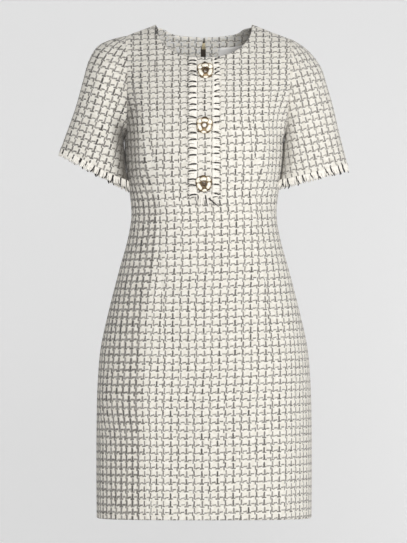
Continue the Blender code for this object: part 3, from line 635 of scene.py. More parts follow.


# Where the painted shades and the crowding of the left side's yarns begin and end, and how strong
# each is there.
PRESS_EDGE = -0.113
PRESS_BUST = (-0.345, -0.200, 0.030, 0.0)
PRESS_HIP = (-0.560, -0.380, 0.028, 0.0)
PRESS_BLUR = (-0.004, 0.006)
PRESS_TOP = (-0.150, -0.080, 1.0, 0.25)
ARMPIT_LINE = (-0.294, -0.174, 0.1370, 0.1470)
ARMPIT_LEFT = (-0.01, 0.01, 1.0, 0.0)
ARMPIT_WIDE = (0.001, 0.027, 1.0, 0.0)
ARMPIT_NARROW = (0.4, 1.0, 0.82, 0.0)
ARMPIT_TOP = (-0.205, -0.160, 1.0, 0.0)
NECK_TURN = (0.030, 0.080, 0.0, 1.0)
NECK_TONE = 0.58
SIDE_OUT = (-0.138, -0.104, 1.0, 0.0)
SIDE_LOW = (-0.345, -0.255, 0.0, 1.0)
SIDE_HIGH = (-0.175, -0.115, 1.0, 0.0)
SIDE_TONE = 0.56


def crowded_and_shaded_side(g):
    """Where the front's left side turns away, its yarns lie closer and its cream gets painted
    shade: 1 there, 0 elsewhere.
    """
    x, _, z = g.parts(g.frame_place())
    line = g.math("ADD", g.remap(z, *PRESS_BUST), PRESS_EDGE)
    line = g.math("SUBTRACT", line, g.remap(z, *PRESS_HIP))
    beyond = g.math("SUBTRACT", line, x)
    return g.math("MULTIPLY", g.remap(beyond, *PRESS_BLUR), g.remap(z, *PRESS_TOP))


def armpit_shade(g):
    """The crease between a sleeve and the body: 1 at the crease, fading out over the sleeve."""
    x, _, z = g.parts(g.frame_place())
    line = g.remap(z, *ARMPIT_LINE, "LINEAR")
    away = g.math("SUBTRACT", g.math("ABSOLUTE", x), line)
    left = g.remap(x, *ARMPIT_LEFT)
    wide = g.remap(away, *ARMPIT_WIDE)
    wide = g.math("MULTIPLY", wide, g.math("MULTIPLY_ADD", left, 0.62, 0.28))
    reach = g.math("MULTIPLY_ADD", left, 0.0046, 0.0038)
    narrow = g.remap(g.math("DIVIDE", away, reach), *ARMPIT_NARROW)
    low = g.remap(z, *ARMPIT_TOP)
    return g.math("MULTIPLY", g.math("MAXIMUM", wide, narrow), low)


def neck_shade(g):
    """The turn of the neck on the right, away from the light: 1 at its darkest."""
    x = g.parts(g.frame_place())[0]
    return g.math("MULTIPLY", g.remap(x, *NECK_TURN), NECK_TONE)


def side_shade(g):
    """The left side under the arm, turned from the light."""
    x, _, z = g.parts(g.frame_place())
    out = g.remap(x, *SIDE_OUT)
    low = g.remap(z, *SIDE_LOW)
    high = g.remap(z, *SIDE_HIGH)
    return g.math("MULTIPLY", g.math("MULTIPLY", out, low), g.math("MULTIPLY", high, SIDE_TONE))


def strayed(g, place):
    """Places in the cloth, strayed a little as soft yarns are."""
    moved = place
    for scale, size in STRAYS:
        stray = g.vector("SUBTRACT", g.noise(place, scale, 2.0, 0.6, "Color"), MIDDLE)
        moved = g.vector("ADD", moved, g.scaled(stray, size))
    return g.vector("MULTIPLY", moved, FLAT)


def dash_mark(g, place, number, dash, weight, crowding_and_shade):
    """One dash of the chart in every repeat, each moved and toned by chance."""
    centred = g.vector("SUBTRACT", place, (dash.x, dash.y, 0.0))
    index = g.vector("FLOOR", g.vector("DIVIDE", g.vector("ADD", centred, HALF_REPEAT), REPEAT))
    luck = g.node("ShaderNodeTexWhiteNoise", noise_dimensions="3D")
    g.put(g.vector("ADD", index, (0.37 * number, 0.0, 3.1 * number)), luck.inputs["Vector"])
    cell = g.node("ShaderNodeVectorMath", operation="WRAP")
    g.put(centred, cell.inputs[0])
    cell.inputs[1].default_value = HALF_REPEAT
    cell.inputs[2].default_value = tuple(-value for value in HALF_REPEAT)
    nudge = g.vector("SUBTRACT", luck.outputs["Color"], MIDDLE)
    here = g.vector("ADD", cell.outputs[0], g.scaled(nudge, DASH_NUDGE))
    here = g.vector("MULTIPLY", here, FLAT)
    turn = math.radians(dash.turn)
    way = (math.cos(turn), math.sin(turn), 0.0)
    along = g.vector("DOT_PRODUCT", here, way)
    along = g.math("MINIMUM", along, dash.half_length)
    along = g.math("MAXIMUM", along, -dash.half_length)
    on_line = g.node("ShaderNodeCombineXYZ")
    g.put(g.math("MULTIPLY", along, way[0]), on_line.inputs[0])
    g.put(g.math("MULTIPLY", along, way[1]), on_line.inputs[1])
    away = g.vector("DISTANCE", here, on_line.outputs[0])
    if crowding_and_shade:
        away = g.math("DIVIDE", away, g.math("MULTIPLY_ADD", crowding_and_shade, PRESSED_YARNS, 1.0))
    size = weight * dash.half_width
    edge = g.remap(away, DASH_CORE * size, DASH_RIM * size, 1.0, 0.0)
    tone = g.remap(luck.outputs["Value"], 0.0, 1.0, PALEST_DASH * dash.tone, dash.tone, "LINEAR")
    return g.math("MULTIPLY", edge, tone)


def weave_height(g, place, moved, ink, slub):
    """Height of the weave: crossing threads, fuzz and slubs, lower where the yarn is dark."""
    u, v, _ = g.parts(moved)
    rate = 2.0 * math.pi / THREAD_PITCH
    warp = g.math("SINE", g.math("MULTIPLY", u, rate))
    weft = g.math("SINE", g.math("MULTIPLY", v, rate))
    weave = g.math("MULTIPLY", warp, weft)
    fuzz = g.noise(place, 900.0, 3.0, 0.7)
    height = g.math("ADD", g.math("MULTIPLY", weave, 0.22), g.math("MULTIPLY", fuzz, 0.9))
    height = g.math("SUBTRACT", height, g.math("MULTIPLY", ink, 0.35))
    return g.math("ADD", height, g.math("MULTIPLY", slub, 0.6))


def tweed_material(name, weight=1.0, pale=1.0, crowding_and_side_shade=False, sleeve=False, ink_share=1.0,
                   inside=False):
    """Check tweed: dark dashes over a slubby cream ground, with painted shade in creases and on
    turned-away parts; pale paints it lighter.
    """
    g = Graph(name)
    place = g.cloth()
    crowding_and_shade = crowded_and_shaded_side(g) if crowding_and_side_shade else None
    moved = strayed(g, place)
    ink = None
    for number, dash in enumerate(DASHES):
        mark = dash_mark(g, moved, number, dash, weight, crowding_and_shade)
        ink = mark if ink is None else g.math("MAXIMUM", ink, mark)
    fleck = g.remap(g.noise(place, 700.0, 3.0, 0.7), 0.60, 0.74)
    slub = g.remap(g.noise(place, 160.0, 3.0, 0.6), 0.35, 0.70)
    # pale above 1 paints the cream lighter, as painted light where the cloth lies in shadow.
    cream = g.mix(slub, tuple(pale * value for value in CREAM_SHADE),
                  tuple(min(PALEST_CREAM, pale * value) for value in CREAM))
    # Painted shade: the front's left side is darkened where it turns away from the light.
    if crowding_and_shade:
        cream = g.mix(g.math("MULTIPLY", crowding_and_shade, PAINTED_SIDE_SHADE_TONE), cream, PAINTED_SIDE_SHADE_CREAM)
    cream = g.mix(g.math("MULTIPLY", fleck, FLECK_TONE), cream, CREAM_SHADE)
    colour = g.mix(g.math("MULTIPLY", ink, ink_share), cream, DARK_YARN)
    for shaded, shade in ((sleeve, armpit_shade), (crowding_and_side_shade, side_shade), (inside, neck_shade)):
        if shaded:
            colour = g.mix(shade(g), colour, CREASE_SHADE)
    g.set(Base_Color=colour, Roughness=0.92, Sheen_Weight=0.18, Sheen_Roughness=0.55)
    g.set(Specular_IOR_Level=0.18)
    g.bump(weave_height(g, place, moved, ink, slub), 0.0011, 0.9)
    return g.material


# Panels of the body.
def dart_share(height, side, table, half_width):
    column = 2 if side > 0 else 1
    return min(smooth(table, column, height) / half_width, 0.97)


def chest_length(front):
    """Length of cloth up the body from the underarm, for each height, beside the neck."""
    places, total, last = [], 0.0, None
    for i in range(CHEST_STEPS + 1):
        point = body_point(BESIDE_NECK, i / CHEST_STEPS, front)
        if last is not None:
            total += math.hypot(point.y - last.y, point.z - last.z)
        places.append((point.z, total))
        last = point
    return places


BACK_CLOTH_UP = chest_length(False)


@lru_cache(maxsize=None)
def cloth_height(z, front):
    """How far up the cloth a place is, from the underarm."""
    if z <= UNDERARM:
        return z - UNDERARM
    if front:
        steps = 24
        rise = (z - UNDERARM) / steps
        return sum(rise * chest_rate(UNDERARM + (i + 0.5) * rise) for i in range(steps))
    for (low, low_length), (high, high_length) in zip(BACK_CLOTH_UP, BACK_CLOTH_UP[1:]):
        if z <= high:
            return low_length + (high_length - low_length) * (z - low) / (high - low)
    return BACK_CLOTH_UP[-1][1] + (z - BACK_CLOTH_UP[-1][0])


def chest_rate(z):
    """Cloth to each metre of height on the chest, which leans back towards the shoulders."""
    return 1.0 + CHEST_LEAN * soft_step(*LEAN_STARTS, z)


def panel_half(side, front, start):
    """Points, cloth places and the dart's column of half a panel, centre to side seam."""
    table = FRONT_DARTS if front else BACK_DARTS
    shares = half_shares(side, start)
    count = len(shares)
    dart_column = min(range(count), key=lambda i: abs(abs(shares[i]) - DART_COLUMN))
    dart_place = abs(shares[dart_column])
    levels = [-1.0 + i / SKIRT_ROWS for i in range(SKIRT_ROWS)]
    columns = []
    for i, share in enumerate(shares):
        column = []
        top = top_level(share, front)
        for level in levels:
            height = UNDERARM - level * (HEM - UNDERARM)
            wanted = dart_share(height, side, table, half_width_at(side, level))
            blend = soft_step(0.0, -0.12, level)
            wanted = dart_place + (wanted - dart_place) * blend
            part = abs(share)
            if part <= dart_place:
                moved = start + (part - start) * (wanted - start) / (dart_place - start)
            else:
                moved = 1.0 - (1.0 - part) * (1.0 - wanted) / (1.0 - dart_place)
            column.append((side * moved, level))
        for j in range(CHEST_ROWS + 1):
            column.append((share, top * j / CHEST_ROWS))
        columns.append(column)
    return columns, dart_column


def panel_points(columns, front):
    return [[body_point(share, level, front) for share, level in column] for column in columns]


def straight_width(x, z):
    """Place across the cloth on the chest, where its columns hang straight."""
    inner = min(abs(x), CHEST_FLAT)
    rate = 1.0 + OUTER_EXTRA * (1.0 - soft_step(*OUTER_ENDS, z))
    plain = CHEST_WIDTH
    if x > 0.0:
        plain += RIGHT_CHEST_EXTRA * soft_step(*RIGHT_CHEST_STARTS, z)
    return math.copysign(plain * inner + rate * (abs(x) - inner), x)


def drift(z):
    """The check's columns stray a little to one side at the waist and down the skirt."""
    waist = soft_step(*WAIST_STARTS, z) * soft_step(*WAIST_ENDS, z)
    return WAIST_DRIFT * waist + SKIRT_DRIFT * soft_step(*SKIRT_STARTS, z)


def row_tilt(x, z):
    """How much further down a row of the check lies, beside the level at the centre."""
    reach = 1.0 if x > 0.0 else soft_step(*TILT_STARTS, z)
    return ROW_TILT * reach * x


def cloth_places(grid, front, squeeze):
    """Places in the cloth: u along each row from the centre, v up the cloth."""
    rows = len(grid[0])
    uv = [[None] * rows for _ in grid]
    for j in range(rows):
        u = grid[0][j].x
        side = 1.0 if grid[-1][j].x > 0.0 else -1.0
        for i, column in enumerate(grid):
            if i:
                step = column[j] - grid[i - 1][j]
                rate = squeeze(column[j]) if squeeze else 1.0
                u += side * rate * math.hypot(step.x, step.y)
            straight = soft_step(*STRAIGHT_STARTS, column[j].z)
            across_it = u + (straight_width(column[j].x, column[j].z) - u) * straight
            across_it += drift(column[j].z)
            up = cloth_height(column[j].z, front) - row_tilt(column[j].x, column[j].z)
            uv[i][j] = (across_it, up)
    return uv


def with_turned_hem(grid, normals, uv):
    """Adds the hem's turning: round the fold and up inside."""
    for column, column_normals, places in zip(grid, normals, uv):
        foot, out = column[0], column_normals[0]
        flat_out = Vector((out.x, out.y, 0.0)).normalized()
        inner, inner_normals, inner_places = [], [], []
        for j in range(HEM_ROWS + 1):
            rise = HEM_TURN * (1.0 - j / HEM_ROWS)
            inner.append(foot - HEM_GAP * flat_out + Vector((0.0, 0.0, rise + 0.0006)))
            inner_normals.append(-flat_out)
            inner_places.append((places[0][0], places[0][1] - rise - 0.002))
        inner.append(foot - 0.5 * HEM_GAP * flat_out - Vector((0.0, 0.0, 0.0006)))
        inner_normals.append(Vector((0.0, 0.0, -1.0)))
        inner_places.append((places[0][0], places[0][1] - 0.001))
        column[:0] = inner
        column_normals[:0] = inner_normals
        places[:0] = inner_places


def edge_distance(grid, i, j, edges):
    """Distance of a grid point from the nearest of some edges, each a column or a row."""
    lengths = []
    for column, row in edges:
        column = i if column is None else column
        row = j if row is None else row
        lengths.append((grid[i][j] - grid[column][row]).length)
    return min(lengths)


def dressed_panel(columns, front, dart_columns, seams):
    """Adds creases, waves, darts and rolled seams to a panel's points."""
    grid = panel_points(columns, front)
    normals = normals_towards(grid, FORWARD if front else -FORWARD)
    table = FRONT_DARTS if front else BACK_DARTS
    seed = FRONT_WAVES if front else BACK_WAVES
    moved = []
    for i, column in enumerate(grid):
        line = []
        for j, point in enumerate(column):
            inward = across(columns[i][j][0], 2.3)
            out = CLOTH_SET_IN + fold_rise(point.x, point.z, front) * inward
            out += wave(point, seed) * min(1.0, 2.0 * inward)
            out += seam_dip(edge_distance(grid, i, j, seams))
            for dart_column in dart_columns:
                taken = smooth(table, 3, point.z)
                away = (point - grid[dart_column][j]).length
                depth = DART_DEPTH * min(1.0, taken / 0.006)
                out -= depth * math.exp(-(away / DART_WIDTH) ** 2)
            line.append(point + out * normals[i][j])
        moved.append(line)
    return moved


def make_front(finish):
    left, left_dart = panel_half(-1.0, True, 0.0)
    right, right_dart = panel_half(1.0, True, 0.0)
    columns = left[::-1] + right[1:]
    middle = len(left) - 1
    darts = (middle - left_dart, middle + right_dart)
    seams = ((0, None), (len(columns) - 1, None), (None, -1))
    grid = dressed_panel(columns, True, darts, seams)
    plain = panel_points(columns, True)

    def left_squeeze(point):
        line = -smooth(FRONT_DARTS, 1, point.z)
        low = soft_step(*LOW_SKIRT_STARTS, point.z)
        extra = LEFT_SQUEEZE_HIGH + (LEFT_SQUEEZE - LEFT_SQUEEZE_HIGH) * low - 1.0
        return 1.0 + extra * soft_step(line + SQUEEZE_BLUR, line - SQUEEZE_BLUR, point.x)

    def right_squeeze(point):
        low = soft_step(*RIGHT_SQUEEZE_STARTS, point.z)
        return 1.0 + RIGHT_SQUEEZE * low * soft_step(*SQUEEZE_RIGHT_EDGE, point.x)

    left_uv = cloth_places(plain[middle::-1], True, left_squeeze)
    right_uv = cloth_places(plain[middle:], True, right_squeeze)
    uv = left_uv[::-1] + right_uv[1:]
    normals = normals_towards(grid, FORWARD)
    heights = [point.z for point in plain[middle]]
    with_turned_hem(grid, normals, uv)
    extra = HEM_ROWS + 2

    def shift(i, j):
        taken = smooth(FRONT_DARTS, 3, heights[max(j - extra, 0)])
        if i < darts[0]:
            return -taken
        return taken if i >= darts[1] else 0.0

    return shell("front", grid, normals, uv, TWEED, finish, shift=shift)


def make_back(side, label, finish):
    columns, dart = panel_half(side, False, 0.0)
    for level_number, (_, level) in enumerate(columns[0]):
        point = body_point(0.0, level, False)
        edge = zip_half(point.z) / half_width_at(side, level)
        columns[0][level_number] = (side * edge, level)
    for i in range(1, len(columns)):
        for j, (share, level) in enumerate(columns[i]):
            least = abs(columns[0][j][0]) * (1.0 + 0.12 * i)
            if abs(share) < least:
                columns[i][j] = (side * least, level)
    seams = ((0, None), (len(columns) - 1, None), (None, -1))
    grid = dressed_panel(columns, False, (dart,), seams)
    plain = panel_points(columns, False)
    uv = cloth_places(plain, False, None)
    normals = normals_towards(grid, -FORWARD)
    heights = [point.z for point in plain[0]]
    with_turned_hem(grid, normals, uv)
    extra = HEM_ROWS + 2

    def shift(i, j):
        taken = smooth(BACK_DARTS, 3, heights[max(j - extra, 0)])
        return side * taken if i >= dart else 0.0

    return shell("back_%s_cloth" % label, grid, normals, uv, TWEED, finish, shift=shift)


# Sleeves.
SLEEVE_GRAIN = {-1.0: 19.0, 1.0: 13.0}
SLEEVE_FRINGE_LEAN = 0.35
CAP_HALF = 0.086
SLEEVE_RATE = {-1.0: 1.05, 1.0: 1.14}
SLEEVE_DRIFT = {-1.0: 0.0050, 1.0: 0.0028}
GRAIN_PLACE = {-1.0: 0.105, 1.0: 0.135}


def push_clear(point, side):
    """Keeps a sleeve outside the body below the underarm."""
    if point.z > UNDERARM:
        return point
    cut = section_at(point.z)
    depth = cut.front_depth if point.y < 0.0 else cut.back_depth
    edge = cut.half_width * across(min(abs(point.y) / depth, 1.0), cut.roundness)
    out = max(abs(point.x), edge + SLEEVE_CLEARANCE)
    return Vector((side * out, point.y, point.z))


SleeveFold = namedtuple("SleeveFold", "turn foot_turn top foot rise half_width")
SLEEVE_FOLDS = (
    SleeveFold(0.12, 0.10, 0.25, 0.95, -0.0030, 0.045),
    SleeveFold(0.25, 0.20, 0.10, 0.80, -0.0022, 0.050),
    SleeveFold(0.44, 0.40, 0.30, 0.98, 0.0014, 0.050),
    SleeveFold(0.66, 0.72, 0.15, 0.95, -0.0022, 0.050),
    SleeveFold(0.86, 0.90, 0.20, 0.95, -0.0028, 0.045),
)


def sleeve_rise(turn, reach):
    rise = 0.0
    for fold in SLEEVE_FOLDS:
        along = (reach - fold.top) / (fold.foot - fold.top)
        if 0.0 < along < 1.0:
            middle = fold.turn + along * (fold.foot_turn - fold.turn)
            away = (turn - middle) / fold.half_width
            rise += fold.rise * math.sin(math.pi * along) ** 0.7 * math.exp(-away * away)
    return rise


def sleeve_grid(side):
    """Columns round a sleeve from the underarm over the front, each from seam to hem."""
    rings = RIGHT_SLEEVE if side > 0 else LEFT_SLEEVE
    columns = []
    for i in range(SLEEVE_ROUND):
        share = 2.0 * i / SLEEVE_ROUND
        rise = share if share <= 1.0 else 2.0 - share
        start = Vector(armhole_point(side, rise, share <= 1.0))
        turn = math.pi * share
        column = []
        for j in range(SLEEVE_ROWS + 1):
            reach = j / SLEEVE_ROWS
            ring = Ring(reach, *(smooth(rings, k, reach) for k in range(1, 6)))
            top = Vector((side * ring.top_x, 0.0, ring.top_z))
            under = Vector((side * ring.under_x, 0.0, ring.under_z))
            point = 0.5 * (top + under) - math.cos(turn) * 0.5 * (top - under)
            point.y = -ring.half_depth * math.sin(turn)
            if share < 1.0:
                point.x -= side * SLEEVE_LEAN * math.exp(-((share - 0.17) / 0.14) ** 2) * reach
            point = push_clear(point, side)
            near = 1.0 - soft_step(0.0, rings[1].reach, reach)
            column.append(point.lerp(start, near))
        low = max(0.0, 1.0 - rise / UNDERARM_REACH)
        near_seam = [1.0 - soft_step(0.0, 0.10, j / SLEEVE_ROWS) for j in range(SLEEVE_ROWS + 1)]
        column = [point + Vector((side * UNDERARM_STEP * low * near, 0.0, 0.0))
                  for point, near in zip(column, near_seam)]
        columns.append(column)
    return columns


def sleeve_places(grid, side):
    """Places in a sleeve's cloth, whose grain runs down its middle. The front and the back are
    each measured from the line where they cross the grain, and meet at the top of the cap."""
    lean = math.radians(SLEEVE_GRAIN[side])
    down = Vector((side * math.sin(lean), 0.0, -math.cos(lean)))
    outward = Vector((side * math.cos(lean), 0.0, math.sin(lean)))
    uv = [[None] * (SLEEVE_ROWS + 1) for _ in range(SLEEVE_ROUND + 1)]
    half = SLEEVE_ROUND // 2
    for j in range(SLEEVE_ROWS + 1):
        row = [grid[i % SLEEVE_ROUND][j] for i in range(SLEEVE_ROUND + 1)]
        lengths = [0.0]
        for low, high in zip(row, row[1:]):
            step = high - low
            lengths.append(lengths[-1] + (step - step.dot(down) * down).length)
        for first, last, step, turned in ((0, half, 1, False), (SLEEVE_ROUND, half, -1, True)):
            inside = range(first + 2 * step, last - 2 * step, step)
            start = min(inside, key=lambda i: abs(row[i].dot(outward) - GRAIN_PLACE[side]))
            begin = row[start].dot(outward) - GRAIN_PLACE[side]
            to_top = SLEEVE_RATE[side] * (begin + abs(lengths[last] - lengths[start]))
            for i in range(first, last + step, step):
                length = SLEEVE_RATE[side] * (begin + step * (lengths[i] - lengths[start]))
                ease = max(0.0, length / to_top) ** 3
                place = length + (CAP_HALF - to_top) * ease - CAP_HALF - SLEEVE_DRIFT[side]
                if turned:
                    place = -place
                uv[i][j] = (side * place, -row[i].dot(down))
    return uv


def make_sleeve(side, label, finish):
    outward = Vector((side, 0.0, 0.0))
    grid = sleeve_grid(side)
    normals = normals_towards(grid, outward, True)
    uv = sleeve_places(grid, side)
    moved = []
    for i, column in enumerate(grid):
        line = []
        for j, point in enumerate(column):
            reach = j / SLEEVE_ROWS
            turn = i / SLEEVE_ROUND
            out = CLOTH_SET_IN + sleeve_rise(turn, reach) + wave(point, SLEEVE_WAVES + side)
            out += seam_dip((point - column[0]).length)
            line.append(point + out * normals[i][j])
        moved.append(line)
    normals = normals_towards(moved, outward, True)
    made = shell("sleeve_%s_cloth" % label, moved, normals, uv, TWEED, finish, closed=True)
    return made, moved, normals


EDGE_TRIES = 24
EDGE_STEP = 0.0006


class Surface:
    """Finds places on finished cloth by looking at it along Y."""

    def __init__(self, from_y, towards, *objects):
        vertices, faces = [], []
        for made in objects:
            first = len(vertices)
            vertices += [vertex.co.copy() for vertex in made.data.vertices]
            faces += [[first + index for index in face.vertices] for face in made.data.polygons]
        self.tree = BVHTree.FromPolygons(vertices, faces)
        self.from_y, self.towards = from_y, towards

    def hit(self, x, z):
        """The place seen at x and z, or level with the cloth just below its edge."""
        way = Vector((0.0, self.towards, 0.0))
        for i in range(EDGE_TRIES):
            found = self.tree.ray_cast(Vector((x, self.from_y, z - i * EDGE_STEP)), way)[0]
            if found is not None:
                return Vector((x, found.y, z))
        return None

    def normal(self, x, z):
        """The smoothed way out of the cloth, towards the side that is looked at."""
        step = 0.003
        here = self.hit(x, z)
        left, right = self.hit(x - step, z) or here, self.hit(x + step, z) or here
        low, high = self.hit(x, z - step), self.hit(x, z + step) or here
        normal = (right - left).cross(high - low).normalized()
        return normal if normal.y * self.towards < 0.0 else -normal

    def at(self, x, z, out):
        return self.hit(x, z) + out * self.normal(x, z)


def oriented(grid, inside):
    """Normals of a grid, turned away from a point inside."""
    normals = grid_normals(grid, False)
    i, j = len(grid) // 2, len(grid[0]) // 2
    if normals[i][j].dot(grid[i][j] - inside) < 0.0:
        normals = flipped(normals)
    return normals


def make_placket(face, finish):
    grid, uv = [], []
    for i in range(PLACKET_COLUMNS + 1):
        across_it = 2.0 * i / PLACKET_COLUMNS - 1.0
        column, places = [], []
        for j in range(PLACKET_ROWS + 1):
            up = j / PLACKET_ROWS
            edge = 0.0006 * noise.noise(Vector((9.0 * up, across_it, 4.0)))
            x = PLACKET_CENTRE + PLACKET_HALF * across_it + edge
            top = neck_height(x, True) - 0.0008
            z = PLACKET_FOOT + (top - PLACKET_FOOT) * up
            lift = PLACKET_OUT - 0.0007 * abs(across_it) ** 4
            column.append(face.at(x, z, lift))
            places.append((x - 0.0015, cloth_height(z, True) + 0.003))
        grid.append(column)
        uv.append(places)
    normals = oriented(grid, Vector((0.0, 0.0, -0.2)))
    return shell("placket_cloth", grid, normals, uv, PLACKET_CLOTH, finish)


Yarn = namedtuple("Yarn", "points radius dark")
YARN_SIDES = 6


def yarns(name, strands, cream, dark):
    """One mesh of yarn strands: round tubes that taper to a soft end."""
    vertices, faces, corners, kinds = [], [], [], []
    for strand in strands:
        points = strand.points
        first, first_face = len(vertices), len(faces)
        up = Vector((0.31, 0.42, 0.85)).normalized()
        for k, point in enumerate(points):
            ahead = points[min(k + 1, len(points) - 1)] - points[max(k - 1, 0)]
            side = ahead.cross(up).normalized()
            other = ahead.cross(side).normalized()
            part = k / (len(points) - 1)
            radius = strand.radius * (1.0 - 0.55 * part**3) * (0.9 + 0.2 * math.sin(5.0 * part + k))
            for e in range(YARN_SIDES):
                turn = 2.0 * math.pi * e / YARN_SIDES
                vertices.append(point + radius * (math.cos(turn) * side + math.sin(turn) * other))
        length = sum((b - a).length for a, b in zip(points, points[1:]))
        for k in range(len(points) - 1):
            for e in range(YARN_SIDES):
                f = (e + 1) % YARN_SIDES
                a, b = first + k * YARN_SIDES, first + (k + 1) * YARN_SIDES
                faces.append((a + e, a + f, b + f, b + e))
                low, high = length * k / (len(points) - 1), length * (k + 1) / (len(points) - 1)
                left, right = 0.001 * e, 0.001 * (e + 1)
                corners += [left, low, right, low, right, high, left, high]
        end = first + (len(points) - 1) * YARN_SIDES
        faces.append(tuple(end + e for e in range(YARN_SIDES)))
        corners += [0.0, length] * YARN_SIDES
        faces.append(tuple(first + YARN_SIDES - 1 - e for e in range(YARN_SIDES)))
        corners += [0.0, 0.0] * YARN_SIDES
        kinds += [int(strand.dark)] * (len(faces) - first_face)
    mesh = bpy.data.meshes.new(name)
    mesh.from_pydata([tuple(v) for v in vertices], [], faces)
    mesh.uv_layers.new(name="cloth").data.foreach_set("uv", corners)
    mesh.materials.append(cream)
    mesh.materials.append(dark)
    mesh.polygons.foreach_set("material_index", kinds)
    mesh.shade_smooth()
    return linked(name, mesh)


def chance(i, size=1.0):
    """An uneven number for strand i, between -size and size."""
    value = math.sin(12.9898 * i + 4.1) * 43758.5453
    return size * (2.0 * (value - math.floor(value)) - 1.0)


# Dark yarns along an edge: two in each repeat of rows.
DARK_REPEAT = 0.0268
DARK_SECOND = 0.0108
YARN_PITCH = 0.00225

# Lengths of the loose yarns, and where the first dark one lies on each side of the strip.
PLACKET_YARN = {-1.0: 0.0142, 1.0: 0.0128}
PLACKET_FIRST_DARK = {-1.0: 0.0060, 1.0: 0.0035}
FOOT_YARN = 0.0158
SLEEVE_YARN = 0.0125
YARN_ROOT = 0.0015


def is_dark(length, start):
    place = (length - start) % DARK_REPEAT
    return place < YARN_PITCH or DARK_SECOND <= place < DARK_SECOND + YARN_PITCH


def height_of_cloth(length):
    """The height of a place on the front, for its length up the cloth."""
    low, high = -0.5, 0.02
    for _ in range(30):
        z = 0.5 * (low + high)
        if cloth_height(z, True) < length:
            low = z
        else:
            high = z
    return z


def placket_side_yarns(face, side):
    """Strands out of one long edge of the strip, square to it and a little bowed."""
    edge = PLACKET_CENTRE + side * PLACKET_HALF
    top = cloth_height(neck_height(edge, True) - 0.003, True)
    foot = cloth_height(PLACKET_FOOT, True)
    count = int((top - foot) / YARN_PITCH)
    strands = []
    for i in range(count):
        length_down = (i + 0.5) * YARN_PITCH
        z = height_of_cloth(top - length_down)
        dark = is_dark(length_down, PLACKET_FIRST_DARK[side])
        salt = i + (0 if side < 0 else 500)
        length = PLACKET_YARN[side] * (1.0 + chance(salt, 0.10)) * (0.94 if dark else 1.0)
        tilt = chance(salt + 90, 0.10)
        bow = 0.0006
        if dark and side > 0:
            tilt = chance(salt + 33, 0.20) + 0.42 * soft_step(-0.150, -0.120, z)
        if dark and side < 0:
            tilt = chance(salt + 33, 0.20)
            bow = 0.0016
        lift = 0.0021 + (0.0013 if dark else 0.0) + chance(salt + 60, 0.0004)
        inner = -YARN_ROOT
        if dark:
            inner = -0.0006 if side < 0 else 0.0022
        points = []
        for k in range(7):
            part = k / 6
            out = inner + (length - inner) * part
            drop = tilt * out + bow * math.sin(math.pi * part) - 0.0008 * part
            points.append(face.at(edge + side * out, z + drop,
                                  lift + 0.0008 * math.sin(math.pi * part)))
        strands.append(Yarn(points, 0.00150 if dark else 0.00175, dark))
    return strands


def placket_foot_yarns(face):
    """Strands below the strip, and one long dark yarn that has come loose."""
    strands = []
    count = int(2.0 * PLACKET_HALF / YARN_PITCH)
    for i in range(count):
        x = PLACKET_CENTRE - PLACKET_HALF + (i + 0.5) * YARN_PITCH
        length = FOOT_YARN * (1.0 + chance(i + 210, 0.16))
        sway = chance(i + 250, 0.25)
        dark = i % 6 == 1
        points = []
        for k in range(7):
            part = k / 6
            z = PLACKET_FOOT + 0.002 - (length + 0.002) * part
            points.append(face.at(x + sway * length * part**1.5, z, 0.0022 + 0.0006 * part))
        strands.append(Yarn(points, 0.00112, dark))
    points = []
    for k in range(9):
        part = k / 8
        x, z = 0.0082 + 0.0175 * part, -0.3130 - 0.0150 * part
        points.append(face.at(x, z, 0.0042 + 0.0008 * math.sin(math.pi * part)))
    strands.append(Yarn(points, 0.00135, True))
    return strands


def sleeve_yarns(grid, normals, side):
    """Strands round a sleeve's hem, continuing its cloth."""
    count = len(grid)
    strands = []
    length_round = 0.0
    for i in range(count):
        a, b = grid[i], grid[(i + 1) % count]
        span = (b[-1] - a[-1]).length
        steps = max(1, round(span / YARN_PITCH))
        for k in range(steps):
            part = (k + 0.5) / steps
            root = a[-1].lerp(b[-1], part)
            above = a[-4].lerp(b[-4], part)
            hang = (root - above).normalized()
            out = normals[i][-1]
            along = (b[-1] - a[-1]).normalized()
            place = length_round + part * span
            salt = int(place * 1000.0) + 7 * i
            dark = is_dark(place, 0.002)
            length = SLEEVE_YARN * (1.0 + chance(salt, 0.14)) * (1.10 if dark else 1.02)
            if dark and side < 0 and 0.24 < i / count < 0.50:
                length *= 0.55
            lean = chance(salt + 31, 0.16) + (SLEEVE_FRINGE_LEAN if dark else 0.12)
            points = []
            for m in range(6):
                along_it = m / 5
                point = root + (-YARN_ROOT + (length + YARN_ROOT) * along_it) * hang
                point += lean * length * along_it**1.4 * along
                point += chance(salt + m, 0.0003) * out
                points.append(point)
            strands.append(Yarn(points, 0.0019 if dark else 0.0016, dark))
        length_round += span
    return strands


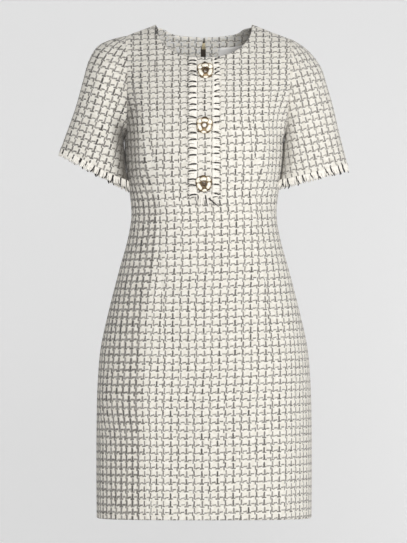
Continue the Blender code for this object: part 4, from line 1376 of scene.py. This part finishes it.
# Rosette buttons.
BUTTON_RADIUS = 0.0150
Rosette = namedtuple("Rosette", "x z lean pearl")
ROSETTES = (
    Rosette(0.0024, -0.0862, 3.0, False),
    Rosette(0.0007, -0.1846, -5.0, True),
    Rosette(-0.0004, -0.2880, 6.0, False),
)
Petal = namedtuple("Petal", "turn out long wide lift height")
OUTER_PETALS = (
    Petal(38.0, 0.0110, 0.0046, 0.0054, 0.0008, 0.0018),
    Petal(142.0, 0.0110, 0.0046, 0.0054, 0.0008, 0.0018),
    Petal(212.0, 0.0122, 0.0026, 0.0042, 0.0004, 0.0012),
    Petal(270.0, 0.0118, 0.0026, 0.0050, 0.0008, 0.0014),
    Petal(328.0, 0.0122, 0.0026, 0.0042, 0.0004, 0.0012),
)
INNER_PETALS = (
    Petal(90.0, 0.0082, 0.0038, 0.0064, 0.0030, 0.0024),
    Petal(206.0, 0.0088, 0.0040, 0.0070, 0.0027, 0.0024),
    Petal(334.0, 0.0088, 0.0040, 0.0070, 0.0027, 0.0024),
)
RING_POINTS = 28
DOME_POINTS = 24
OUTER_RIM = 0.00055
INNER_RIM = 0.00050
BUTTON_STANDS_OFF = 0.0052
BUTTON_FACES_FRONT = 0.55


class Builder:
    """Collects vertices and faces with material numbers into one mesh."""

    def __init__(self):
        self.vertices, self.faces, self.kinds = [], [], []

    def grid(self, rows, kind):
        """Joins rows of points, each row closed round."""
        first = len(self.vertices)
        count = len(rows[0])
        for row in rows:
            self.vertices += row
        for j in range(len(rows) - 1):
            for i in range(count):
                following = (i + 1) % count
                a, b = first + j * count, first + (j + 1) * count
                self.faces.append((a + i, a + following, b + following, b + i))
                self.kinds.append(kind)
        return first

    def cap(self, row, kind):
        first = len(self.vertices)
        self.vertices += row
        self.faces.append(tuple(range(first, first + len(row))))
        self.kinds.append(kind)

    def solid(self, rows, kind):
        """Joins rows of points and closes both ends."""
        self.grid(rows, kind)
        self.cap(rows[0], kind)
        self.cap(rows[-1], kind)

    def made(self, name, finishes, smooth_angle=50.0):
        mesh = bpy.data.meshes.new(name)
        mesh.from_pydata([tuple(v) for v in self.vertices], [], self.faces)
        for finish in finishes:
            mesh.materials.append(finish)
        mesh.polygons.foreach_set("material_index", self.kinds)
        shape = bmesh.new()
        shape.from_mesh(mesh)
        bmesh.ops.remove_doubles(shape, verts=shape.verts, dist=1e-6)
        bmesh.ops.recalc_face_normals(shape, faces=shape.faces)
        shape.to_mesh(mesh)
        shape.free()
        mesh.shade_smooth()
        mesh.set_sharp_from_angle(angle=math.radians(smooth_angle))
        return linked(name, mesh)


def petal_shape(builder, petal, spot, rim, kinds):
    """A domed petal with a raised rim. spot(x, y, height) gives a place on the button."""
    turn = math.radians(petal.turn)
    way, side = (math.cos(turn), math.sin(turn)), (-math.sin(turn), math.cos(turn))

    def place(angle, share, height):
        along = petal.out + petal.long * share * math.cos(angle)
        beside = petal.wide * share * math.sin(angle) * (1.0 + 0.12 * math.cos(angle))
        return spot(way[0] * along + side[0] * beside, way[1] * along + side[1] * beside,
                    petal.lift + height)

    around = 20
    dome = []
    for k in range(6):
        share = 1.0 - k / 5
        height = petal.height * (1.0 - 0.9 * share**2) * (0.75 + 0.25 * share)
        dome.append([place(2.0 * math.pi * i / around, max(share, 0.02), height)
                     for i in range(around)])
    builder.grid(dome, kinds[0])
    builder.cap(dome[-1], kinds[0])
    ring = []
    for e in range(7):
        lean = 2.0 * math.pi * e / 6
        ring.append([place(2.0 * math.pi * i / around, 1.0 + rim / petal.wide * math.cos(lean),
                           0.35 * petal.height + rim * math.sin(lean)) for i in range(around)])
    builder.grid(ring, kinds[1])


def circle(spot, reach, height, around):
    turns = [2.0 * math.pi * i / around for i in range(around)]
    return [spot(reach * math.cos(turn), reach * math.sin(turn), height) for turn in turns]


def torus(builder, spot, radius, tube, height, kind):
    leans = [2.0 * math.pi * e / 8 for e in range(9)]
    builder.grid([circle(spot, radius + tube * math.cos(lean), height + tube * math.sin(lean),
                         RING_POINTS) for lean in leans], kind)


def dome(builder, spot, radius, height, rise, kind):
    leans = [0.5 * math.pi * k / 5 for k in range(6)]
    rows = [circle(spot, max(radius * math.cos(lean), 1e-5), height + rise * math.sin(lean),
                   DOME_POINTS) for lean in leans]
    builder.grid(rows, kind)
    builder.cap(rows[-1], kind)


def make_button(number, rosette, face, finishes):
    """A flower: a scalloped base, five outer petals, three inner ones and a ring."""
    gold, enamel, pearl, shadow = range(4)
    front = Vector((0.0, -1.0, 0.0))
    normal = face.normal(rosette.x, rosette.z).lerp(front, BUTTON_FACES_FRONT).normalized()
    centre = face.hit(rosette.x, rosette.z) + BUTTON_STANDS_OFF * front
    right = Vector((1.0, 0.0, 0.0))
    right = (right - right.dot(normal) * normal).normalized()
    up = right.cross(-normal).normalized()
    lean = math.radians(rosette.lean)
    right, up = (math.cos(lean) * right + math.sin(lean) * up,
                 math.cos(lean) * up - math.sin(lean) * right)

    def spot(x, y, height):
        return centre + x * right + y * up + height * normal

    builder = Builder()
    rows = []
    for share, height in ((0.55, 0.0), (0.93, 0.0), (0.97, 0.0006), (0.93, 0.0012), (0.5, 0.0016)):
        row = []
        for i in range(60):
            turn = 2.0 * math.pi * i / 60
            petal = 1.0 + 0.05 * math.cos(5.0 * (turn - 0.5 * math.pi))
            reach = BUTTON_RADIUS * share * petal
            row.append(spot(reach * math.cos(turn), reach * math.sin(turn), height))
        rows.append(row)
    builder.solid(rows, gold)
    for petals, rim in ((OUTER_PETALS, OUTER_RIM), (INNER_PETALS, INNER_RIM)):
        for petal in petals:
            petal_shape(builder, petal, spot, rim, (enamel, gold))
    torus(builder, spot, 0.0050, 0.00125, 0.0056, gold)
    dome(builder, spot, 0.0043, 0.0042, 0.0018 if rosette.pearl else 0.0006,
         pearl if rosette.pearl else shadow)
    for turn in (0.0, 2.1, 4.2):
        petal = Petal(math.degrees(turn) + 60.0, 0.0016, 0.0012, 0.0012, 0.0046, 0.0007)
        petal_shape(builder, petal, spot, 0.0002, (gold, gold))
    dome(builder, lambda x, y, height: spot(x, y, -height), 0.0040, 0.0, 0.0040, gold)
    return builder.made("button_%d_rosette" % number, finishes)


# Inside of the back and the zip.
FACING_DEPTH = 0.0190
LEFT_FACING_DEPTH = 0.0390
FACING_ZIP_DEPTH = 0.0400
FACING_ZIP_HALF = 0.0230
FACING_ZIP_EDGE = 0.0046
SLIT_LEFT, SLIT_RIGHT, SLIT_TOP = 0.0060, 0.0030, 0.0006
SLIT_OPENS = (0.0440, 0.0210)
SLIT_REACH = 0.020
FACING_END = 0.0840
LINING_FOOT = -0.330
INSIDE_COLUMNS = 36


def facing_foot(x):
    """Lower edge of the facing: deep beside the zip, even round the neck."""
    t = soft_step(FACING_ZIP_HALF, FACING_ZIP_HALF + 0.006, abs(x))
    even = LEFT_FACING_DEPTH if x < 0.0 else FACING_DEPTH
    depth = FACING_ZIP_DEPTH + (even - FACING_ZIP_DEPTH) * t
    return neck_height(0.0, False) - depth + 0.5 * (neck_height(x, False) + BACK_NECK_DROP)


def slit_edge(side, z):
    """Where the facing ends beside the zip: nearly shut at the neck, open below."""
    wide = SLIT_LEFT if side < 0 else SLIT_RIGHT
    return SLIT_TOP + (wide - SLIT_TOP) * soft_step(SLIT_OPENS[1], SLIT_OPENS[0], -z)


def inside_grid(inner, side, low, high, depth, rows):
    """Points just inside the back on one side of the zip, between two heights."""
    grid, uv = [], []
    for i in range(INSIDE_COLUMNS + 1):
        x = side * (FACING_ZIP_EDGE + (FACING_END - FACING_ZIP_EDGE) * math.sin(
            0.5 * math.pi * i / INSIDE_COLUMNS))
        looked = side * max(abs(x), 0.0068)
        foot, top = low(x), high(x)
        over_tape = 0.0011 * (1.0 - soft_step(TAPE_HALF, TAPE_HALF + 0.009, abs(x)))
        column, places = [], []
        for j in range(rows + 1):
            z = foot + (top - foot) * j / rows
            point = inner.hit(looked, z) + (depth + over_tape) * inner.normal(looked, z)
            near = max(0.0, 1.0 - (abs(x) - FACING_ZIP_EDGE) / SLIT_REACH)
            moved = x + side * near * (slit_edge(side, z) - FACING_ZIP_EDGE)
            column.append(Vector((moved, point.y, point.z)))
            places.append((moved, cloth_height(z, False)))
        grid.append(column)
        uv.append(places)
    return grid, uv


def make_inside(side, label, inner, tweed, satin):
    facing, facing_uv = inside_grid(
        inner, side, facing_foot, lambda x: neck_height(x, False) - 0.0006, 0.0011, 14)
    lining, lining_uv = inside_grid(
        inner, side, lambda x: LINING_FOOT, lambda x: facing_foot(x) - 0.0002, 0.0012, 60)
    for i, column in enumerate(lining):
        for j, point in enumerate(column):
            ripple = 0.0011 * math.sin(95.0 * point.x + 14.0 * point.z) * min(1.0, j / 8)
            point.y -= 0.0006 + max(0.0, ripple) * min(1.0, i / 4)
    middle = Vector((0.0, -1.0, -0.1))
    made = []
    for name, grid, uv, cloth, finish in (
        ("facing_%s_cloth", facing, facing_uv, FACING_CLOTH, tweed),
        ("lining_%s_cloth", lining, lining_uv, LINING_CLOTH, satin),
    ):
        made.append(shell(name % label, grid, oriented(grid, middle), uv, cloth, finish))
    return made


def zip_places(outer, count, top, foot):
    """Places down the middle of the zip, level with the cloth beside it."""
    line = []
    for i in range(count + 1):
        z = top + (foot - top) * i / count
        left, right = outer.hit(-0.0075, z), outer.hit(0.0075, z)
        line.append(Vector((0.0, 0.5 * (left.y + right.y) - 0.5 * TWEED, z)))
    return line


def frames(line):
    """Each place of a line with the way along it and the way out of the back."""
    made = []
    for i, point in enumerate(line):
        along = (line[min(i + 1, len(line) - 1)] - line[max(i - 1, 0)]).normalized()
        out = Vector((1.0, 0.0, 0.0)).cross(along)
        made.append((point, along, out if out.y > 0.0 else -out))
    return made


def make_tape(outer, finish):
    line = frames(zip_places(outer, 94, TAPE_TOP, ZIP_FOOT - ZIP_TAPER))
    grid, uv = [], []
    for x in (-TAPE_HALF, -0.0105, -0.0065, -0.0030, -0.0010, 0.0010, 0.0030, 0.0065,
              0.0105, TAPE_HALF):
        column, places = [], []
        for point, _, out in line:
            beaded = 0.0004 if abs(x) in (0.0030, TAPE_HALF) else 0.0
            turn_in = 0.0010 * (abs(x) / TAPE_HALF) ** 2
            place = point + (beaded - 0.0019) * out + Vector((x, -turn_in, 0.0))
            column.append(place)
            places.append((x, point.z))
        grid.append(column)
        uv.append(places)
    return shell("zip_tape_cloth", grid, oriented(grid, Vector((0.0, 0.0, -0.3))), uv,
                 TAPE_CLOTH, finish)


def box_shape(builder, centre, axes, halves, kind, pinch=0.0):
    """A small block; pinch narrows its outer face."""
    corners = []
    for out in (-1.0, 1.0):
        share = 1.0 - pinch if out > 0.0 else 1.0
        for a, b in ((-1, -1), (1, -1), (1, 1), (-1, 1)):
            corners.append(centre + a * share * halves[0] * axes[0]
                           + b * share * halves[1] * axes[1] + out * halves[2] * axes[2])
    first = len(builder.vertices)
    builder.vertices += corners
    for face in ((0, 1, 2, 3), (4, 5, 6, 7), (0, 1, 5, 4), (1, 2, 6, 5), (2, 3, 7, 6),
                 (3, 0, 4, 7)):
        builder.faces.append(tuple(first + index for index in face))
        builder.kinds.append(kind)


TOOTH_PITCH = 0.0019


def make_chain(outer, finish):
    """Two rows of teeth that meet in the middle."""
    count = int((ZIP_TOP - ZIP_FOOT - 0.002) / TOOTH_PITCH)
    line = frames(zip_places(outer, count, ZIP_TOP, ZIP_FOOT + 0.002))
    right = Vector((1.0, 0.0, 0.0))
    builder = Builder()
    for i, (point, along, out) in enumerate(line):
        side = 1.0 if i % 2 else -1.0
        centre = point + 0.0002 * out + side * 0.0009 * right
        box_shape(builder, centre, (right, along, out), (0.0018, 0.00062, 0.0011), 0, 0.28)
        box_shape(builder, centre - side * 0.0016 * right, (right, along, out),
                  (0.0005, 0.0008, 0.0007), 0, 0.3)
    return builder.made("zip_chain_teeth", [finish], 35.0)


def softened(node, name, finish, size):
    """A copy of a small CAD piece with its edges rounded."""
    source = frame["nodes"][node]
    mesh = source.data.copy()
    mesh.name = name
    made = linked(name, mesh)
    made.matrix_world = source.matrix_world
    mesh.materials.clear()
    mesh.materials.append(finish)
    shape = bmesh.new()
    shape.from_mesh(mesh)
    bmesh.ops.remove_doubles(shape, verts=shape.verts, dist=1e-6)
    bmesh.ops.dissolve_limit(shape, angle_limit=math.radians(2.0), verts=shape.verts,
                             edges=shape.edges)
    bmesh.ops.bevel(shape, geom=list(shape.edges), offset=size, segments=2, profile=0.6,
                    affect="EDGES", clamp_overlap=True)
    bmesh.ops.recalc_face_normals(shape, faces=shape.faces)
    shape.to_mesh(mesh)
    shape.free()
    mesh.shade_smooth()
    mesh.set_sharp_from_angle(angle=math.radians(30.0))
    return made


STITCH_LENGTH = 0.0024
STITCH_GAP = 0.0009
STITCH_RADIUS = 0.00028
ZIP_STITCH_OUT = 0.0088
ZIP_STITCH_TOP = -0.024
ZIP_STITCH_STEP = 0.0045
ZIP_STITCH_POINTS = 120
THREAD_LIFT = 0.0002
SLIDER_EDGE = 0.0003
PULL_EDGE = 0.00025


def stitches(name, lines, finish):
    """Short thread dashes that follow lines of points."""
    builder = Builder()
    for line in lines:
        travelled, marks = 0.0, []
        for a, b in zip(line, line[1:]):
            span = (b - a).length
            place = -travelled % (STITCH_LENGTH + STITCH_GAP)
            while place < span:
                marks.append((a.lerp(b, place / span), (b - a).normalized()))
                place += STITCH_LENGTH + STITCH_GAP
            travelled += span
        for start, way in marks:
            side = way.cross(Vector((0.3, 1.0, 0.2))).normalized()
            other = way.cross(side)
            rows = []
            for part, size in ((0.0, 0.35), (0.15, 0.9), (0.5, 1.0), (0.85, 0.9), (1.0, 0.35)):
                middle = start + part * STITCH_LENGTH * way
                rows.append([middle + size * STITCH_RADIUS * (math.cos(t) * side
                                                              + math.sin(t) * other)
                             for t in (0.0, 1.57, 3.14, 4.71)])
            builder.solid(rows, 0)
    return builder.made(name, [finish])


PLY_ROUND = 0.003
PLY_LENGTH = 0.0026


def yarn_material(name, colour, shade):
    """Twisted yarn, with its ply wound round the strand."""
    g = Graph(name)
    place = g.cloth()
    u, v, _ = g.parts(place)
    around = g.math("MULTIPLY", u, 2.0 * math.pi / PLY_ROUND)
    twist = g.math("ADD", around, g.math("MULTIPLY", v, 2.0 * math.pi / PLY_LENGTH))
    ply = g.math("SINE", twist)
    fuzz = g.noise(place, 1500.0, 3.0, 0.7)
    tone = g.remap(g.math("ADD", g.math("MULTIPLY", ply, 0.3), fuzz), 0.2, 0.9)
    g.set(Base_Color=g.mix(tone, shade, colour), Roughness=0.9, Sheen_Weight=0.2)
    g.set(Sheen_Roughness=0.6, Specular_IOR_Level=0.2)
    g.bump(g.math("ADD", g.math("MULTIPLY", ply, 0.5), fuzz), 0.0004, 0.8)
    return g.material


def satin_material():
    g = Graph("satin_lining")
    place = g.cloth()
    fine = g.noise(g.vector("MULTIPLY", place, (2600.0, 300.0, 1.0)), 1.0, 2.0, 0.5)
    large = g.noise(place, 14.0, 2.0, 0.5)
    tone = g.remap(g.math("ADD", g.math("MULTIPLY", fine, 0.5), g.math("MULTIPLY", large, 0.5)),
                   0.3, 0.7)
    colour = g.mix(tone, (0.84, 0.825, 0.805), (0.93, 0.915, 0.90))
    g.set(Base_Color=g.mix(neck_shade(g), colour, CREASE_SHADE), Roughness=0.36)
    g.set(Anisotropic=0.55, Sheen_Weight=0.1, Specular_IOR_Level=0.6)
    g.bump(fine, 0.0001, 0.5)
    return g.material


def metal_material(name, colour, shade, roughness, wear):
    """Cast and plated metal, slightly uneven."""
    g = Graph(name)
    place = g.frame_place()
    cloud = g.noise(place, 420.0, 3.0, 0.6)
    tone = g.remap(cloud, 0.35, 0.7)
    g.set(Base_Color=g.mix(tone, shade, colour), Metallic=1.0)
    g.set(Roughness=g.remap(cloud, 0.3, 0.7, roughness, roughness + wear, "LINEAR"))
    g.bump(g.noise(place, 900.0, 2.0, 0.5), 0.0002, 0.5)
    return g.material


def enamel_material(name, colour, shade, roughness):
    g = Graph(name)
    place = g.frame_place()
    tone = g.remap(g.noise(place, 380.0, 2.0, 0.5), 0.35, 0.65)
    g.set(Base_Color=g.mix(tone, shade, colour), Roughness=roughness, Coat_Weight=0.6)
    g.set(Coat_Roughness=0.08)
    g.bump(g.noise(place, 500.0, 2.0, 0.5), 0.0002, 0.4)
    return g.material


TAPE_RIB = 0.0011


def tape_material():
    g = Graph("zip_tape_weave")
    place = g.cloth()
    u, v, _ = g.parts(place)
    rate = 2.0 * math.pi / TAPE_RIB
    rib = g.math("SINE", g.math("MULTIPLY", g.math("ADD", v, g.math("ABSOLUTE", u)), rate))
    tone = g.remap(g.math("ADD", g.math("MULTIPLY", rib, 0.3), g.noise(place, 1200.0)), 0.2, 0.8)
    g.set(Base_Color=g.mix(tone, (0.030, 0.022, 0.016), (0.085, 0.064, 0.048)))
    g.set(Roughness=0.85, Sheen_Weight=0.1)
    g.bump(rib, 0.0002, 0.7)
    return g.material


CAMERA_ASIDE = -0.0010


def make_camera():
    data = bpy.data.cameras.new("camera")
    camera = linked("camera", data)
    camera.location = (CAMERA_ASIDE, -CAMERA_DISTANCE, CAMERA_HEIGHT)
    camera.rotation_euler = (math.radians(90.0), 0.0, 0.0)
    data.sensor_width = 36.0
    data.lens = data.sensor_width * CAMERA_DISTANCE / (PIXEL * IMAGE_HIGH)
    data.clip_end = 60.0
    bpy.context.scene.camera = camera


def area_light(lamp):
    data = bpy.data.lights.new(lamp.name, "AREA")
    data.shape = "RECTANGLE"
    data.size, data.size_y = lamp.size
    data.energy = lamp.power
    data.spread = math.radians(lamp.spread)
    made = linked(lamp.name, data)
    made.location = lamp.place
    way = Vector(lamp.aim) - Vector(lamp.place)
    made.rotation_euler = way.to_track_quat("-Z", "Y").to_euler()


STAGE_GLOW = 0.19
STAGE_FADES = (-1.25, 0.45)
STAGE_FLOOR = -1.30
STAGE_BACK = 3.4
STAGE_FRONT = -14.0
STAGE_CURVE = 1.2
STAGE_HALF = 9.0
STAGE_TOP = 8.0
CURVE_STEPS = 16
Lamp = namedtuple("Lamp", "name place aim size power spread")
LAMPS = (
    Lamp("key", (5.2, -2.6, 0.9), (0.0, 0.0, -0.45), (2.2, 2.2), 80.0, 180.0),
    Lamp("front", (0.4, -5.4, 0.4), (0.0, 0.0, -0.35), (2.0, 2.0), 187.0, 180.0),
    Lamp("back", (0.0, 3.1, -0.40), (0.0, 0.0, -0.45), (0.20, 0.45), 1.9, 40.0),
)
ROOM_LIGHT = 0.33


def make_stage():
    """A pale floor that curves up into the backdrop."""
    g = Graph("stage_paper")
    spot = g.frame_place()
    tone = g.remap(g.noise(spot, 0.8), 0.0, 1.0, -0.02, 0.02, "LINEAR")
    tone = g.math("ADD", tone, g.remap(g.parts(spot)[2], *STAGE_FADES))
    g.set(Base_Color=g.mix(tone, (0.86, 0.86, 0.86), (0.69, 0.69, 0.69)), Roughness=1.0)
    g.set(Specular_IOR_Level=0.0, Emission_Color=(1.0, 1.0, 1.0, 1.0))
    g.set(Emission_Strength=STAGE_GLOW)
    clear = g.node("ShaderNodeBsdfTransparent")
    choose = g.node("ShaderNodeMixShader")
    g.put(g.node("ShaderNodeNewGeometry").outputs["Backfacing"], choose.inputs[0])
    output = next(node for node in g.tree.nodes if node.type == "OUTPUT_MATERIAL")
    shaded = output.inputs["Surface"].links[0].from_socket
    g.put(shaded, choose.inputs[1])
    g.put(clear.outputs[0], choose.inputs[2])
    g.put(choose.outputs[0], output.inputs["Surface"])
    line = [(STAGE_FRONT, STAGE_FLOOR)]
    for i in range(CURVE_STEPS + 1):
        turn = 0.5 * math.pi * i / CURVE_STEPS
        line.append((STAGE_BACK - STAGE_CURVE + STAGE_CURVE * math.sin(turn),
                     STAGE_FLOOR + STAGE_CURVE - STAGE_CURVE * math.cos(turn)))
    line.append((STAGE_BACK, STAGE_TOP))
    vertices = [(x, y, z) for x in (-STAGE_HALF, STAGE_HALF) for y, z in line]
    count = len(line)
    faces = [(i, count + i, count + i + 1, i + 1) for i in range(count - 1)]
    mesh = bpy.data.meshes.new("stage")
    mesh.from_pydata(vertices, [], faces)
    mesh.materials.append(g.material)
    mesh.shade_smooth()
    linked("stage", mesh)


def make_light():
    world = bpy.data.worlds.new("studio")
    world.use_nodes = True
    background = world.node_tree.nodes["Background"]
    background.inputs["Color"].default_value = (1.0, 1.0, 1.0, 1.0)
    background.inputs["Strength"].default_value = ROOM_LIGHT
    bpy.context.scene.world = world
    for lamp in LAMPS:
        area_light(lamp)
    bpy.context.scene.view_settings.view_transform = "Standard"


def place_piece(made, body, nodes):
    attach(made, body)
    if nodes:
        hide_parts(*nodes)
    return made


# How each cloth piece was cut: width, length and area, what it hangs on and what is sewn to it.
Sheet = namedtuple("Sheet", "piece width length area held rests_on with_pieces")
SHEETS = (
    Sheet("front", 0.490, 0.935, 0.400, "hung", ("back_left_cloth", "back_right_cloth"), ()),
    Sheet("back_left_cloth", 0.245, 0.935, 0.200, "hung", ("front",), ()),
    Sheet("back_right_cloth", 0.245, 0.935, 0.200, "hung", ("front",), ()),
    Sheet("sleeve_left_cloth", 0.360, 0.252, 0.058, "hung", ("front", "back_left_cloth"),
          ("fringe_sleeve_left_yarn",)),
    Sheet("sleeve_right_cloth", 0.355, 0.246, 0.056, "hung", ("front", "back_right_cloth"),
          ("fringe_sleeve_right_yarn",)),
    Sheet("placket_cloth", 0.031, 0.270, None, "laid", ("front",),
          ("fringe_placket_left_yarn", "fringe_placket_right_yarn", "fringe_placket_foot_yarn")),
    Sheet("facing_left_cloth", 0.083, 0.062, 0.0040, "laid", ("back_left_cloth",), ()),
    Sheet("facing_right_cloth", 0.083, 0.058, 0.0028, "laid", ("back_right_cloth",), ()),
    Sheet("lining_left_cloth", 0.079, 0.290, None, "hung", ("facing_left_cloth",), ()),
    Sheet("lining_right_cloth", 0.082, 0.300, None, "hung", ("facing_right_cloth",), ()),
    Sheet("zip_tape_cloth", 0.026, 0.537, None, "hung", ("back_left_cloth", "back_right_cloth"),
          ()),
)


def declare_sheets():
    for sheet in SHEETS:
        named = bpy.data.objects
        [named[name] for name in sheet.rests_on]
        [named[name] for name in sheet.with_pieces]


def main():
    tweed = tweed_material("tweed_check")
    front_tweed = tweed_material("tweed_check_front", 1.06, crowding_and_side_shade=True, ink_share=0.97)
    sleeve_tweeds = {-1.0: tweed_material("tweed_check_left", 1.20, sleeve=True),
                     1.0: tweed_material("tweed_check_right", 1.18, sleeve=True, ink_share=0.86)}
    # Painted light: the facing's cream is paler and its dashes lighter, so the inside of the neck
    # reads brightly lit; its right side gets painted shade.
    facing_tweed = tweed_material("tweed_check_facing", 0.95, 1.30, ink_share=0.82, inside=True)
    cream = yarn_material("yarn_cream", (0.93, 0.90, 0.84), (0.82, 0.785, 0.715))
    dark = yarn_material("yarn_dark", (0.060, 0.052, 0.046), (0.018, 0.016, 0.015))
    satin = satin_material()
    gold = metal_material("gold_plate", (0.20, 0.145, 0.085), (0.10, 0.07, 0.04), 0.30, 0.2)
    # Painted highlight: the slider and its pull get a far paler gold than the buttons, so that they
    # read bright inside the neck.
    slider_gold = metal_material("slider_gold", (0.96, 0.88, 0.66), (0.86, 0.74, 0.48), 0.50, 0.12)
    bronze = metal_material("bronze_teeth", (0.20, 0.145, 0.09), (0.10, 0.07, 0.045), 0.32, 0.2)
    enamel = enamel_material("cream_enamel", (0.92, 0.88, 0.78), (0.84, 0.77, 0.62), 0.22)
    pearl = enamel_material("pearl_centre", (0.86, 0.83, 0.78), (0.72, 0.68, 0.64), 0.16)
    shadow = enamel_material("dark_centre", (0.09, 0.065, 0.05), (0.03, 0.022, 0.018), 0.25)
    tape = tape_material()

    front = place_piece(make_front(front_tweed), "dress", ["front_panel"])
    backs = []
    for side, label in SIDES:
        backs.append(place_piece(make_back(side, label, tweed), "dress", ["back_" + label]))
        sleeve, grid, normals = make_sleeve(side, label, sleeve_tweeds[side])
        place_piece(sleeve, "dress", ["sleeve_" + label])
        fringe = yarns("fringe_sleeve_%s_yarn" % label, sleeve_yarns(grid, normals, side),
                       cream, dark)
        place_piece(fringe, "dress", ["fringe_sleeve_" + label])
    face = Surface(-1.0, 1.0, front)
    inner = Surface(0.0, 1.0, *backs)
    outer = Surface(1.0, -1.0, *backs)
    place_piece(make_placket(face, tweed), "dress", ["placket"])
    for side, label in SIDES:
        fringe = yarns("fringe_placket_%s_yarn" % label, placket_side_yarns(face, side),
                       cream, dark)
        place_piece(fringe, "dress", ["fringe_placket_" + label])
        facing, lining = make_inside(side, label, inner, facing_tweed, satin)
        place_piece(facing, "dress", ["facing_" + label])
        place_piece(lining, "dress", ["lining_" + label])
    fringe = yarns("fringe_placket_foot_yarn", placket_foot_yarns(face), cream, dark)
    place_piece(fringe, "dress", ["fringe_placket_foot"])
    for number, rosette in enumerate(ROSETTES, 1):
        button = make_button(number, rosette, face, (gold, enamel, pearl, shadow))
        place_piece(button, "dress", ["button_%d" % number])
    place_piece(make_tape(outer, tape), "dress", ["zip_tape"])
    place_piece(make_chain(outer, bronze), "dress", ["zip_chain"])
    slider = softened("zip_slider", "zip_slider_cast", slider_gold, SLIDER_EDGE)
    place_piece(slider, "dress", ["zip_slider"])
    pull = softened("zip_pull", "zip_pull_cast", slider_gold, PULL_EDGE)
    place_piece(pull, "pull", ["zip_pull"])
    thread_lines = []
    for x in (-ZIP_STITCH_OUT, ZIP_STITCH_OUT):
        heights = [ZIP_STITCH_TOP - ZIP_STITCH_STEP * i for i in range(ZIP_STITCH_POINTS)]
        thread_lines.append([outer.at(x, z, THREAD_LIFT) for z in heights])
    thread = stitches("zip_stitches", thread_lines, cream)
    place_piece(thread, "dress", [])
    declare_sheets()
    make_stage()
    make_light()
    make_camera()


main()
